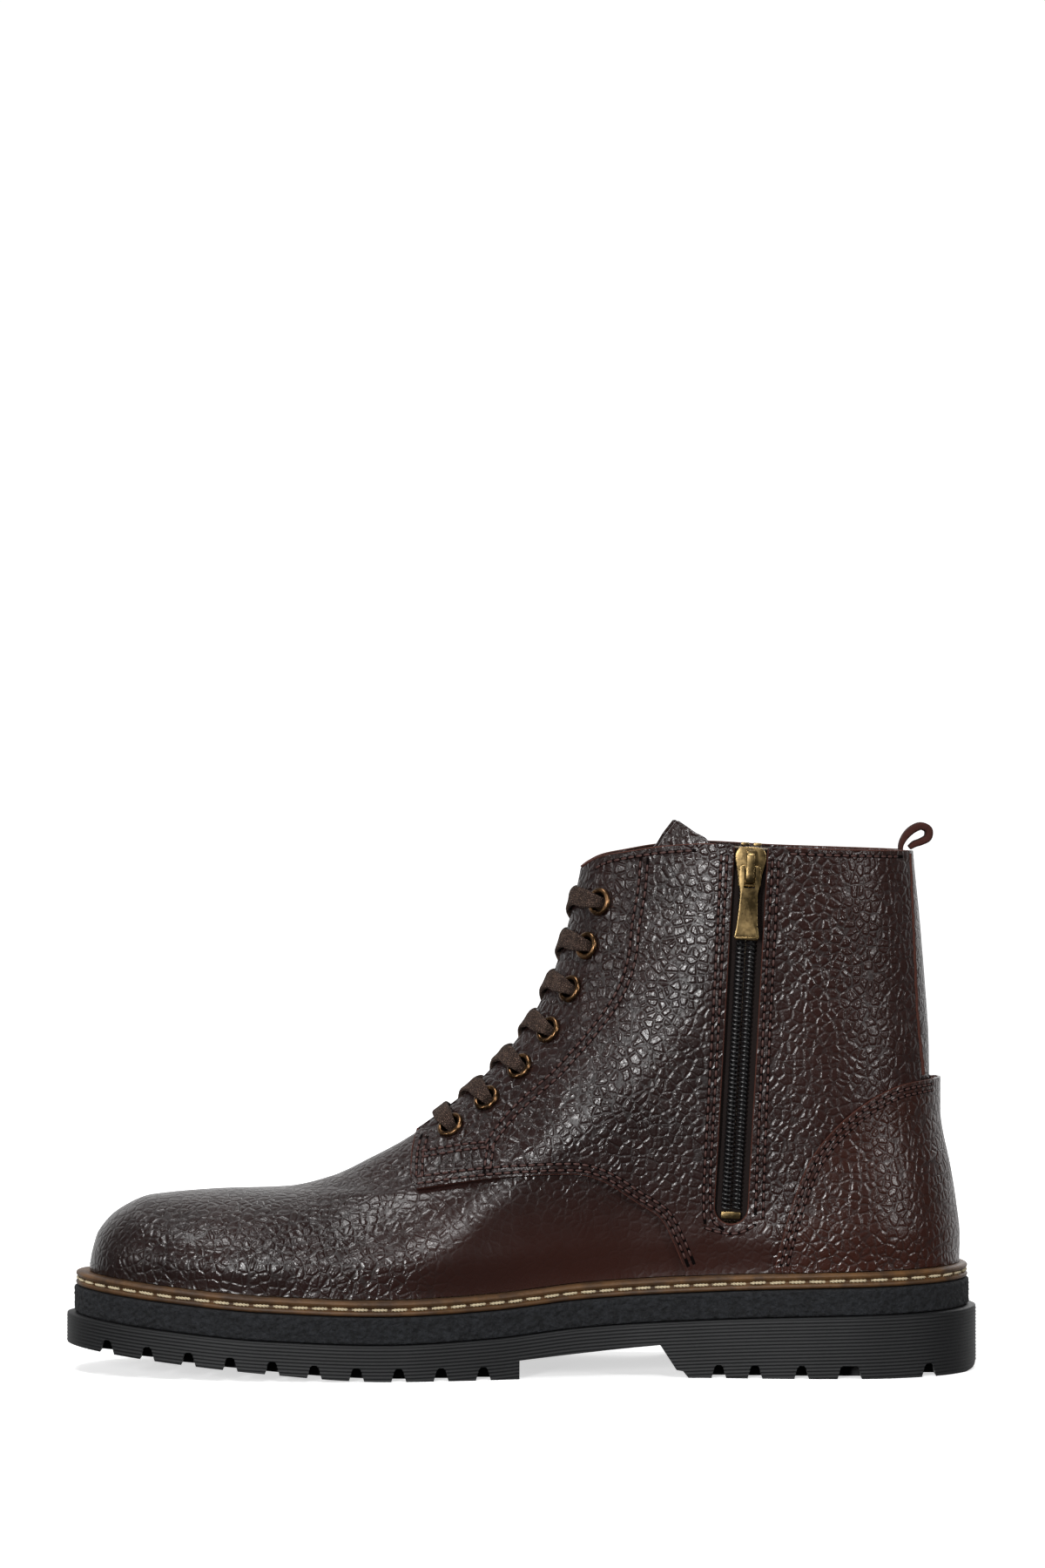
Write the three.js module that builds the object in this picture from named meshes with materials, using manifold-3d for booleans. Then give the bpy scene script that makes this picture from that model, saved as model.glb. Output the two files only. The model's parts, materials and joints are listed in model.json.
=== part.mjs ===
// A right ankle boot that laces and zips: a leather upper over a warm lining, on a welted lug sole.
// Millimetres. +Z up, toe towards -X, heel towards +X, inner (zip) side towards -Y, ground at z = 0.
import * as THREE from "three";
import { mergeVertices } from "three/addons/utils/BufferGeometryUtils.js";
import Module from "manifold-3d";

const wasm = await Module();
wasm.setup();

// ---------------------------------------------------------------- driving dimensions
const TOE_X = -147; // front of the upper
const HEEL_X = 145; // back of the upper, without its covers
const SHAFT_TOP = 178; // highest point of the topline
const SHAFT_HALF_WIDTH = 36.5; // at the topline
const ANKLE_HALF_WIDTH = 34;
const ANKLE_HEIGHT = 90;
const TOE_ROUND = 60; // length over which the toe rounds off in plan
const HEEL_ROUND = 38;
const SHAFT_FRONT_ROUND = 55;
const SHAFT_BACK_ROUND = 46;

const GAP = 0.3; // between pieces that touch
const LEATHER = 1.6;
const LINING = 3.0;
const STIFFENER = 1.0;
const STAY = 1.2;
const TONGUE = 2.6;
const FOOTBED = 4.0;
const INSOLE_BOARD = 2.2;

const WELT_THICKNESS = 4.9;
const MIDSOLE_THICKNESS = 8.9;
const WELT_REACH_TOE = 4.4; // how far the welt stands out past the upper's leather
const WELT_REACH_HEEL = 6.2;
const MIDSOLE_REACH = 0.5; // past the welt
const OUTSOLE_REACH_SIDE = 1.2;
const OUTSOLE_REACH_END = 2.8;
const ARCH_LIFT = 6.2; // ground to the arch at its front
const HEEL_LIFT = 10.9; // ground to the arch where the heel begins
const FOREPART_END = -1;
const HEEL_BREAST = 47;
const LUG_NOTCH = { width: 3.6, height: 4.4, depth: 11 };

const EYELET_PAIRS = 7;
const EYELET_PITCH = 0.1682 * (SHAFT_TOP - ANKLE_HEIGHT); // closer together on a lower shaft
const TOP_EYELET_FROM_CENTRE = 21.5; // along the leather
const LOW_EYELET_FROM_CENTRE = 15.8;
const EYELET_BORE = 2.9;
const EYELET_WALL = 0.5;
const EYELET_FLANGE = 4.75;
const EYELET_CLEARANCE = 0.35;
const EYELET_SEAT_GAP = 0.5; // under the flange, on leather that curves away
const EYELET_SIDES = 8; // facets round each eyelet
const THROAT_HALF_GAP = 7;
const THROAT_X = -37; // front edge of the quarters

const LACE_WIDTH = 6.4;
const LACE_THICKNESS = 1.5;

const ZIP_BOTTOM = new THREE.Vector3(69.8, 0, 56.5);
const ZIP_TOP = new THREE.Vector3(76.4, 0, SHAFT_TOP - 0.5);
const COIL_WIDTH = 2.9;
const COIL_THICKNESS = 1.8;
const TAPE_THICKNESS = 0.6;
const SLIDER_LENGTH = 13.2;
const SLIDER_HALF_WIDTH = 5.2;
const ZIP_SLOT_HALF = SLIDER_HALF_WIDTH + 0.6; // half width of the opening for the zip
const TAPE_HALF_WIDTH = 9; // the tape is held behind the edges of the opening
const PLATE = 0.8;
const PULL_LENGTH = 25;
const PULL_HALF_WIDTH = 3.4;
const PULL_THICKNESS = 1.2;

const FAR = 175; // ahead of and behind everything
const WIDE = 100; // to either side of everything
const UNDER = -20; // below everything
const ABOVE_SOLE = 60;
const HIGH = SHAFT_TOP + 82; // above everything
const PAST_TOPLINE = SHAFT_TOP + 27; // where panels run to before the topline is cut
const LAST_TOP = SHAFT_TOP + 22; // top of the last
const RIM_Z = 36; // level where the upper is widest, just above the welt
const STATIONS = 25; // cross-sections from toe to topline
const SECTION_STEPS = 9; // steps down each side of a cross-section
const OUTLINE_STEPS = 22; // steps along each side of the sole's outline

// ---------------------------------------------------------------- curves
// A smooth curve through points with rising x that never overshoots them; it runs on straight past its ends.
function curve(points) {
  const n = points.length;
  const slopes = [];
  for (let i = 0; i < n - 1; i++) {
    slopes.push((points[i + 1][1] - points[i][1]) / (points[i + 1][0] - points[i][0]));
  }
  const tangents = [slopes[0]];
  for (let i = 1; i < n - 1; i++) {
    const [a, b] = [slopes[i - 1], slopes[i]];
    tangents.push(a * b <= 0 ? 0 : (2 * a * b) / (a + b));
  }
  tangents.push(slopes[n - 2]);
  return (x) => {
    if (x <= points[0][0]) return points[0][1] + tangents[0] * (x - points[0][0]);
    if (x >= points[n - 1][0]) return points[n - 1][1] + tangents[n - 1] * (x - points[n - 1][0]);
    let i = 0;
    while (x > points[i + 1][0]) i++;
    const width = points[i + 1][0] - points[i][0];
    const t = (x - points[i][0]) / width;
    const [y0, y1] = [points[i][1], points[i + 1][1]];
    const [m0, m1] = [tangents[i] * width, tangents[i + 1] * width];
    return y0 + m0 * t + (3 * (y1 - y0) - 2 * m0 - m1) * t * t + (m0 + m1 - 2 * (y1 - y0)) * t ** 3;
  };
}

const clamp01 = (t) => Math.min(1, Math.max(0, t));
const smooth = (t) => clamp01(t) ** 2 * (3 - 2 * clamp01(t));
const mix = (a, b, t) => a + (b - a) * t;

// Side view of the upper: the crest runs from the toe over the instep and up the front of the shaft.
const crestHeight = curve([
  [TOE_X, 35], [TOE_X + 0.6, 39], [TOE_X + 3, 46.5], [TOE_X + 10.5, 54], [TOE_X + 21, 58.6], [-106, 60.5],
  [-80, 61.6], [-65, 64.8], [-51, 71.2], [-37, 79], [-22, 90], [-12, 99], [-2, 110.5], [5.5, 122], [12, 136],
  [16.5, 150.5], [19, 162], [22.5, 180], [26, 200],
]);
const backX = curve([
  [10, HEEL_X], [36, HEEL_X - 0.2], [45, HEEL_X], [56, HEEL_X - 1.2], [68, HEEL_X - 3], [88, HEEL_X - 6.4],
  [110, HEEL_X - 6.8], [128, HEEL_X - 8.2], [147, HEEL_X - 9.7], [165, HEEL_X - 11.2], [200, HEEL_X - 14],
]);
// Top of the welt, where the upper meets the sole.
const weltTop = curve([
  [-155, 34], [-120, 30.5], [-85, 27.6], [-45, 26.3], [-10, 27.8], [21, 31], [60, 33.4], [90, 34.6], [155, 36],
]);
const TOE_SPRING = 9.6; // ground to the tread at the tip of the toe
const outsoleBottom = curve([[-156, TOE_SPRING], [-113, 5.2], [-84, 2.5], [-58, 0.5], [-42, 0], [-41, 0]]);

// Plan view: half width of the foot and the middle line that it follows.
const footHalfWidth = curve([
  [TOE_X, 42], [-110, 43.5], [-80, 46], [-55, 47.5], [-40, 47], [-20, 44], [0, 39], [20, 35.4], [40, 33.6],
  [60, 33.6], [80, 34.6], [100, 35.5], [HEEL_X, 35.5],
]);
const footMiddle = curve([
  [TOE_X, -5], [-100, -2], [-60, 0], [-20, 2.5], [20, 4], [60, 2], [100, 0], [HEEL_X, 0],
]);

const SEARCH_STEPS = 34;
const SEARCH_END = 60; // behind the top of the crest
function crestX(z) {
  let [low, high] = [TOE_X, SEARCH_END];
  for (let i = 0; i < SEARCH_STEPS; i++) {
    const middle = (low + high) / 2;
    if (crestHeight(middle) < z) low = middle;
    else high = middle;
  }
  return (low + high) / 2;
}

// Half width of the upper at a point of the side view; 0 on its outline.
function halfWidth(x, z) {
  const low = weltTop(x);
  const shaft = mix(ANKLE_HALF_WIDTH, SHAFT_HALF_WIDTH, (z - ANKLE_HEIGHT) / (SHAFT_TOP - ANKLE_HEIGHT));
  const full = mix(footHalfWidth(x), shaft, smooth((z - RIM_Z) / 52));
  const below = Math.max(0, crestHeight(x) - Math.max(z, low));
  const behind = Math.max(0, x - crestX(Math.max(z, crestHeight(TOE_X))));
  const ahead = Math.max(0, backX(z) - x);
  const ridge = smooth((x + 90) / 80);
  const crestRound = mix(0.95 * (crestHeight(x) - low), 52, ridge);
  const frontRound = mix(TOE_ROUND, SHAFT_FRONT_ROUND, smooth((z - 60) / 50));
  const backRound = mix(HEEL_ROUND, SHAFT_BACK_ROUND, smooth((z - 60) / 60));
  const down = 1 - (1 - clamp01(below / crestRound)) ** mix(2.4, 1.9, ridge);
  const back = 1 - (1 - clamp01(behind / frontRound)) ** mix(2, 1.7, smooth((z - 60) / 50));
  const front = 1 - (1 - clamp01(ahead / backRound)) ** 2.1;
  if (down <= 0 || back <= 0 || front <= 0) return 0;
  const tuck = 1 - 0.045 * (1 - smooth((z - low) / 14));
  return full * tuck * Math.sqrt(front / (1 / down + 1 / back - 1));
}
const middleY = (x, z) => footMiddle(x) * (1 - smooth((z - RIM_Z) / 52));

// ---------------------------------------------------------------- solids
function toSolid(geometry) {
  const bare = geometry.clone();
  bare.deleteAttribute("normal");
  bare.deleteAttribute("uv");
  const merged = mergeVertices(bare, 1e-3);
  const index = merged.index.array;
  const triVerts = [];
  for (let i = 0; i < index.length; i += 3) {
    const [a, b, c] = [index[i], index[i + 1], index[i + 2]];
    if (a !== b && b !== c && c !== a) triVerts.push(a, b, c);
  }
  return new wasm.Manifold(
    new wasm.Mesh({
      numProp: 3,
      vertProperties: merged.attributes.position.array,
      triVerts: new Uint32Array(triVerts),
    }),
  );
}

function toGeometry(solid) {
  const mesh = solid.getMesh();
  const positions = new Float32Array(mesh.numVert * 3);
  for (let i = 0; i < mesh.numVert; i++) {
    positions.set(mesh.vertProperties.subarray(i * mesh.numProp, i * mesh.numProp + 3), i * 3);
  }
  const geometry = new THREE.BufferGeometry();
  geometry.setAttribute("position", new THREE.BufferAttribute(positions, 3));
  geometry.setIndex(new THREE.BufferAttribute(new Uint32Array(mesh.triVerts), 1));
  return geometry;
}

function meshFrom(points, triangles) {
  const geometry = new THREE.BufferGeometry();
  const numbers = points.flatMap((p) => [p.x, p.y, p.z]);
  geometry.setAttribute("position", new THREE.Float32BufferAttribute(numbers, 3));
  geometry.setIndex(triangles);
  return geometry;
}

// A side-view outline in X and Z, extruded along Y.
function sidePrism(outline, yLow = -WIDE, yHigh = WIDE) {
  const shape = new THREE.Shape(outline.map(([x, z]) => new THREE.Vector2(x, z)));
  const geometry = new THREE.ExtrudeGeometry(shape, { depth: yHigh - yLow, bevelEnabled: false });
  geometry.rotateX(Math.PI / 2);
  geometry.translate(0, yHigh, 0);
  return toSolid(geometry);
}

// A plan-view outline in X and Y, extruded along Z.
function planPrism(outline, zLow, zHigh) {
  const shape = new THREE.Shape(outline.map(([x, y]) => new THREE.Vector2(x, y)));
  const geometry = new THREE.ExtrudeGeometry(shape, { depth: zHigh - zLow, bevelEnabled: false });
  geometry.translate(0, 0, zLow);
  return toSolid(geometry);
}

function box(x0, x1, y0, y1, z0, z1) {
  const geometry = new THREE.BoxGeometry(x1 - x0, y1 - y0, z1 - z0);
  geometry.translate((x0 + x1) / 2, (y0 + y1) / 2, (z0 + z1) / 2);
  return toSolid(geometry);
}

// ---------------------------------------------------------------- the last that the upper is built on
// Section lines fan from the crest to the sole and on up the back; each pairs a place on the crest with one on
// the far side, both as lengths along those lines.
const SOLE_DEPTH = 14; // how far the last runs on below the welt, to be cut off
const crestLine = [];
for (let z = crestHeight(TOE_X) - SOLE_DEPTH; z < crestHeight(TOE_X); z += 2) crestLine.push([TOE_X, z]);
for (let x = TOE_X; crestHeight(x) < LAST_TOP; x += 0.5) crestLine.push([x, crestHeight(x)]);
const farLine = [];
for (let x = TOE_X; x < HEEL_X; x += 1) farLine.push([x, weltTop(x) - SOLE_DEPTH]);
for (let z = weltTop(HEEL_X) - SOLE_DEPTH; z < LAST_TOP; z += 1) farLine.push([backX(z), z]);

function lengthsAlong(line) {
  const lengths = [0];
  for (let i = 1; i < line.length; i++) {
    lengths.push(lengths[i - 1] + Math.hypot(line[i][0] - line[i - 1][0], line[i][1] - line[i - 1][1]));
  }
  return lengths;
}

function pointAlong(line, lengths, s) {
  let i = 1;
  while (i < line.length - 1 && lengths[i] < s) i++;
  const t = (s - lengths[i - 1]) / (lengths[i] - lengths[i - 1]);
  return [mix(line[i - 1][0], line[i][0], t), mix(line[i - 1][1], line[i][1], t)];
}

const crestLengths = lengthsAlong(crestLine);
const farLengths = lengthsAlong(farLine);
const crestEnd = crestLengths.at(-1);
const farEnd = farLengths.at(-1);
function lengthAtCrestX(x) {
  return crestLengths[crestLine.findIndex((p) => p[0] >= x && p[1] >= crestHeight(TOE_X))];
}

// Share of the stations used up at matching places: [station share, crest length, far length].
const forepart = lengthAtCrestX(THROAT_X);
const soleLength = HEEL_X - TOE_X;
const fanCrest = curve([
  [0, lengthAtCrestX(TOE_X)], [0.15, lengthAtCrestX(TOE_X + 12)], [0.31, lengthAtCrestX(-100)],
  [0.48, forepart], [0.68, lengthAtCrestX(0)], [1, crestEnd - 1],
]);
const fanFar = curve([
  [0, 0], [0.15, 12], [0.31, 48], [0.48, 118], [0.6, soleLength - 60], [0.76, soleLength],
  [0.84, soleLength + 40], [1, farEnd - 1],
]);

function lastPoints() {
  const rings = [];
  for (let i = 0; i <= STATIONS; i++) {
    const t = i / STATIONS;
    const top = pointAlong(crestLine, crestLengths, fanCrest(t));
    const far = pointAlong(farLine, farLengths, fanFar(t));
    const ring = [];
    for (let j = 0; j <= SECTION_STEPS; j++) {
      const s = (1 - Math.cos((Math.PI * j) / SECTION_STEPS)) / 2;
      const [x, z] = [mix(top[0], far[0], s), mix(top[1], far[1], s)];
      const w = j === 0 ? 0 : halfWidth(x, z);
      ring.push({ x, z, w, y: middleY(x, z) });
    }
    rings.push(ring);
  }
  return rings;
}

const rings = lastPoints();
const RING = 2 * SECTION_STEPS + 2;
const lastVertices = rings.flatMap((ring) => [
  ...ring.map((p) => new THREE.Vector3(p.x, p.y - p.w, p.z)),
  ...ring.map((p) => new THREE.Vector3(p.x, p.y + p.w, p.z)).reverse(),
]);
const lastTriangles = [];
for (let i = 0; i < STATIONS; i++) {
  for (let j = 0; j < RING; j++) {
    const [a, b] = [i * RING + j, i * RING + ((j + 1) % RING)];
    lastTriangles.push(a, b, a + RING, b, b + RING, a + RING);
  }
}
for (const [start, flip] of [[0, true], [STATIONS * RING, false]]) {
  for (let j = 0; j < SECTION_STEPS; j++) {
    const [a, b, c, d] = [start + j, start + j + 1, start + RING - 2 - j, start + RING - 1 - j];
    if (flip) lastTriangles.push(a, c, b, a, d, c);
    else lastTriangles.push(a, b, c, a, c, d);
  }
}

// Outward directions, shared by every layer so that layers nest without touching.
const outward = (() => {
  const geometry = meshFrom(lastVertices, lastTriangles);
  const merged = mergeVertices(geometry, 1e-3);
  merged.computeVertexNormals();
  const normals = new Map();
  const [position, normal] = [merged.attributes.position, merged.attributes.normal];
  for (let i = 0; i < position.count; i++) {
    const place = new THREE.Vector3().fromBufferAttribute(position, i);
    normals.set(keyOf(place), new THREE.Vector3().fromBufferAttribute(normal, i));
  }
  return lastVertices.map((p) => normals.get(keyOf(p)) || new THREE.Vector3(0, 0, 1));
})();
function keyOf(p) {
  return [p.x, p.y, p.z].map((v) => Math.round(v * 50)).join();
}

function lastSolid(offset) {
  const points = lastVertices.map((p, i) => p.clone().addScaledVector(outward[i], offset));
  return toSolid(meshFrom(points, lastTriangles));
}
const layer = (inner, outer) => lastSolid(outer).subtract(lastSolid(inner));

// ---------------------------------------------------------------- side-view outlines of the panels
const lineOver = (height, lift) => {
  const points = [];
  for (let x = -FAR; x <= FAR; x += 25) points.push([x, height(x) + lift]);
  return points;
};
// Everything between two levels measured from the top of the welt.
function band(low, high) {
  return sidePrism([...lineOver(weltTop, low), ...lineOver(weltTop, high).reverse()]);
}
const shaftFront = crestX(SHAFT_TOP);
const topline = [
  [-60, SHAFT_TOP - 18], [shaftFront - 8, SHAFT_TOP - 12], [shaftFront - 3, SHAFT_TOP - 9.4],
  [shaftFront + 0.4, SHAFT_TOP - 6.6], [shaftFront + 5, SHAFT_TOP - 4.4], [shaftFront + 14, SHAFT_TOP - 2.6],
  [shaftFront + 24, SHAFT_TOP - 1], [shaftFront + 39, SHAFT_TOP], [shaftFront + 65, SHAFT_TOP - 1.3],
  [HEEL_X - 14, SHAFT_TOP - 2.6], [FAR, SHAFT_TOP - 3],
];
function underTopline(lift) {
  const edge = topline.map(([x, z]) => [x, z + lift]).reverse();
  return sidePrism([[FAR, 0], ...edge, [topline[0][0], 0]]);
}
const vampEnd = ZIP_BOTTOM.x - TAPE_HALF_WIDTH - 2.8; // the vamp stops short of the zip's tape
const vampOutline = [
  [-FAR, 10], [vampEnd, 10], [vampEnd, 36], [vampEnd - 3, 48], [vampEnd - 11, 60], [vampEnd - 22, 70],
  [vampEnd - 34, 76], [8, 77], [-22, 75], [-27, 79], [-30.5, 90], [-31, 130], [-FAR, 130],
];
const quarterOutline = [
  [THROAT_X + 1, PAST_TOPLINE], [THROAT_X + 1, 82], [THROAT_X, 74.5], [THROAT_X, 66.4], [THROAT_X + 1.5, 62.8],
  [-11, 66.3], [12.8, 67.7], [20.3, 67.4], [27.6, 65], [38.6, 58], [46.2, 53], [50.8, 44.6], [54.6, 34],
  [56, 10], [HEEL_X - 7, 10], [HEEL_X - 7, 60], [HEEL_X - 10.5, 98], [HEEL_X - 11.7, 118],
  [HEEL_X - 12.8, 140], [HEEL_X - 14.2, 175], [HEEL_X - 15, PAST_TOPLINE],
];
const stayOutline = [
  [-27, PAST_TOPLINE], [-27, 90], [-23.5, 79.5], [-14, 78.5], [6, 84], [18, 97], [30, 117],
  [shaftFront + 15, SHAFT_TOP - 38], [shaftFront + 19, SHAFT_TOP - 18], [shaftFront + 22, PAST_TOPLINE],
];
const throatOutline = [
  [-32, PAST_TOPLINE], [-32, 78], [-26, 66], [-8, 73], [6, 85], [17, 101], [26, 120],
  [shaftFront + 11, SHAFT_TOP - 38], [shaftFront + 15, SHAFT_TOP - 18], [shaftFront + 18, PAST_TOPLINE],
];
const tongueOutline = [
  [-46, SHAFT_TOP - 9], [-46, 66], [-30, 58], [-8, 66], [10, 82], [28, 106], [shaftFront + 18, SHAFT_TOP - 48],
  [shaftFront + 30, SHAFT_TOP - 20], [shaftFront + 40.5, SHAFT_TOP + 0.5], [shaftFront + 31, SHAFT_TOP + 8],
  [shaftFront + 22, SHAFT_TOP - 2.5], [shaftFront + 8, SHAFT_TOP - 6], [shaftFront - 4, SHAFT_TOP - 9],
];
const counterOutline = [
  [FAR, 99], [HEEL_X - 4, 98.6], [126.5, 96.6], [115, 91.2], [104.3, 82.5], [96.7, 72.8], [90.9, 59.3],
  [87.2, 46.9], [84.3, 34], [84, 10], [FAR, 10],
];
const backStripOutline = [
  [HEEL_X - 27, 10], [FAR, 10], [FAR, PAST_TOPLINE], [HEEL_X - 20, PAST_TOPLINE], [HEEL_X - 19, 110],
];
const stiffenerOutline = [[82, 10], [FAR, 10], [FAR, 92], [120, 90], [100, 78], [88, 58]];
const puffOutline = [[-FAR, 10], [TOE_X + 49, 10], [TOE_X + 43, 40], [TOE_X + 35, 90], [-FAR, 90]];

// ---------------------------------------------------------------- places on the upper's front
// A place is s along the crest, a around the boot from the crest (a < 0 on the inner side), and an offset
// outwards.
const CREST_STEP = 0.5;
const DEPTH_STEPS = 60;
const DEPTH_REACH = 40;
function crestFrame(s) {
  const [x0, z0] = pointAlong(crestLine, crestLengths, s - CREST_STEP);
  const [x1, z1] = pointAlong(crestLine, crestLengths, s + CREST_STEP);
  const along = new THREE.Vector3(x1 - x0, 0, z1 - z0).normalize();
  const [x, z] = pointAlong(crestLine, crestLengths, s);
  return { origin: new THREE.Vector3(x, 0, z), along, inward: new THREE.Vector3(along.z, 0, -along.x) };
}
function place(s, a, offset) {
  const { origin, along, inward } = crestFrame(s);
  const side = Math.sign(a) || 1;
  let [depth, width, arc, dd, dw] = [0, 0, 0, 0, 1];
  for (let i = 1; i <= DEPTH_STEPS && arc < Math.abs(a); i++) {
    const next = DEPTH_REACH * (i / DEPTH_STEPS) ** 2;
    const w = halfWidth(origin.x + inward.x * next, origin.z + inward.z * next);
    const step = Math.hypot(next - depth, w - width);
    const share = Math.min(1, (Math.abs(a) - arc) / step);
    [dd, dw] = [(next - depth) / step, (w - width) / step];
    depth += (next - depth) * share;
    width += (w - width) * share;
    arc += step * share;
  }
  const out = inward.clone().multiplyScalar(-dw).add(new THREE.Vector3(0, side * dd, 0));
  if (a === 0) out.copy(inward).negate();
  const position = origin.clone().addScaledVector(inward, depth);
  position.y = middleY(position.x, position.z) + side * width;
  return { position: position.addScaledVector(out, offset), out, along };
}

const lowestEyelet = lengthAtCrestX(THROAT_X) + 12.5;
const eyeletLength = (pair) => lowestEyelet + (EYELET_PAIRS - pair) * EYELET_PITCH;
function eyeletFromCentre(pair) {
  return mix(TOP_EYELET_FROM_CENTRE, LOW_EYELET_FROM_CENTRE, (pair - 1) / (EYELET_PAIRS - 1));
}

// ---------------------------------------------------------------- sole
// Half width of the upper seen from above, at its widest level.
function planHalfWidth(x) {
  const toe = 1 - (1 - clamp01((x - TOE_X) / TOE_ROUND)) ** 2;
  const heel = 1 - (1 - clamp01((HEEL_X - x) / HEEL_ROUND)) ** 2.1;
  return footHalfWidth(x) * Math.sqrt(toe * heel);
}
function soleOutline(reach) {
  const points = [];
  const xAt = (i) => mix(TOE_X, HEEL_X, (1 - Math.cos((Math.PI * i) / OUTLINE_STEPS)) / 2);
  const yAt = (x, side) => middleY(x, RIM_Z) + side * planHalfWidth(x);
  for (let i = 0; i <= OUTLINE_STEPS; i++) points.push([xAt(i), yAt(xAt(i), -1)]);
  for (let i = OUTLINE_STEPS - 1; i > 0; i--) points.push([xAt(i), yAt(xAt(i), 1)]);
  return points.map(([x, y], i) => {
    const before = points.at(i - 1);
    const after = points[(i + 1) % points.length];
    const length = Math.hypot(after[0] - before[0], after[1] - before[1]);
    const out = [(after[1] - before[1]) / length, -(after[0] - before[0]) / length];
    return [x + out[0] * reach(x), y + out[1] * reach(x)];
  });
}
const weltReach = (x) => mix(WELT_REACH_TOE, WELT_REACH_HEEL, smooth((x + 100) / 120));
const midsoleReach = (x) => weltReach(x) + MIDSOLE_REACH;
const outsoleReach = (x) => midsoleReach(x) + mix(OUTSOLE_REACH_SIDE, OUTSOLE_REACH_END, (x / 150) ** 8);
const insideBy = (solid, outline) => solid.intersect(planPrism(outline, UNDER, ABOVE_SOLE));

const MIDSOLE_TOP = -WELT_THICKNESS - GAP;
const OUTSOLE_TOP = MIDSOLE_TOP - MIDSOLE_THICKNESS;
const GROOVE = { top: -0.39 * WELT_THICKNESS, bottom: -0.67 * WELT_THICKNESS, depth: 1.2 };
const SHANK = { from: -12, to: 86, middle: 2, halfWidth: 7, thickness: 1.2 };

function makeOutsole() {
  const bottom = [];
  for (const x of [-FAR, -150, -140, -130, -120, -110, -98, -86, -74, -64, -54, -42]) {
    bottom.push([x, Math.max(0, outsoleBottom(x))]);
  }
  const heel = [
    [HEEL_BREAST - 1, HEEL_LIFT], [HEEL_BREAST + 4.4, 2.6], [HEEL_BREAST + 6.6, 2.2], [HEEL_BREAST + 8.4, 0],
    [149.5, 0], [152.5, 0.9], [154.2, 3], [FAR, 3.2],
  ];
  const profile = [...bottom, [FOREPART_END, 0], [FOREPART_END, ARCH_LIFT], ...heel];
  const block = sidePrism([...profile, ...lineOver(weltTop, OUTSOLE_TOP - GAP).reverse()]);
  let outsole = insideBy(block, soleOutline(outsoleReach));
  const notch = LUG_NOTCH.width / 2;
  const cutPair = (x, half) => {
    const floor = x < -42 ? Math.max(0, outsoleBottom(x)) : 0;
    const edge = planHalfWidth(Math.max(x, TOE_X)) + outsoleReach(x);
    for (const side of [-1, 1]) {
      const inner = middleY(x, RIM_Z) + side * (edge - LUG_NOTCH.depth);
      const [y0, y1] = side < 0 ? [-WIDE, inner] : [inner, WIDE];
      outsole = outsole.subtract(box(x - half, x + half, y0, y1, UNDER, floor + LUG_NOTCH.height));
    }
  };
  const forepartLugs = 10;
  const lugPitch = 14;
  for (let i = 0; i < forepartLugs; i++) cutPair(FOREPART_END - 12 - i * lugPitch, notch);
  for (const x of [65.5, 77.5, 93]) cutPair(x, notch);
  cutPair(109, notch * 1.9);
  cutPair(136, notch);
  const middle = footMiddle(TOE_X);
  const notchTop = TOE_SPRING + LUG_NOTCH.height;
  return outsole.subtract(box(-FAR, TOE_X + 2, middle - notch, middle + notch, UNDER, notchTop));
}
const makeMidsole = () => insideBy(band(OUTSOLE_TOP, MIDSOLE_TOP), soleOutline(midsoleReach));
function grooveRing(inset, outset, low, high) {
  const outer = insideBy(band(low, high), soleOutline((x) => weltReach(x) + outset));
  return outer.subtract(planPrism(soleOutline((x) => weltReach(x) - inset), UNDER, ABOVE_SOLE));
}
function makeWelt() {
  const plate = insideBy(band(-WELT_THICKNESS, 0), soleOutline(weltReach));
  return plate.subtract(lastSolid(-LEATHER)).subtract(grooveRing(GROOVE.depth, 3, GROOVE.bottom, GROOVE.top));
}
const makeWeltThread = () => grooveRing(GROOVE.depth - GAP, -0.1, GROOVE.bottom + 0.35, GROOVE.top - 0.35);
const insideWelt = () => lastSolid(-LEATHER - GAP);
const makeInsoleBoard = () => insideWelt().intersect(band(-INSOLE_BOARD, 0));
function shankBlock(grow) {
  const low = -WELT_THICKNESS + GAP - grow;
  const level = band(low, -WELT_THICKNESS + GAP + SHANK.thickness + grow);
  const half = SHANK.halfWidth + grow;
  const [y0, y1] = [SHANK.middle - half, SHANK.middle + half];
  return level.intersect(box(SHANK.from - grow, SHANK.to + grow, y0, y1, UNDER, ABOVE_SOLE));
}
function makeFiller() {
  const fill = insideWelt().intersect(band(-WELT_THICKNESS + GAP, -INSOLE_BOARD - GAP));
  return fill.subtract(shankBlock(GAP));
}
const makeFootbed = () => {
  const inside = lastSolid(-LEATHER * 2 - LINING - 2 * GAP - 1.4);
  return inside.intersect(band(2 * GAP, 2 * GAP + FOOTBED));
};

// ---------------------------------------------------------------- upper
const OUTER = LEATHER + GAP; // outside of the quarters
const aboveWelt = sidePrism([...lineOver(weltTop, GAP), [FAR, HIGH], [-FAR, HIGH]]);
function panel(inner, outer, outline) {
  return layer(inner, outer).intersect(aboveWelt).intersect(sidePrism(outline));
}
const throatGap = () => box(-60, 60, -THROAT_HALF_GAP, THROAT_HALF_GAP, 50, HIGH);
const LINING_OUT = -2 * LEATHER;
const LINING_IN = LINING_OUT - LINING;
const TONGUE_OUT = LINING_IN - GAP;

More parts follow.
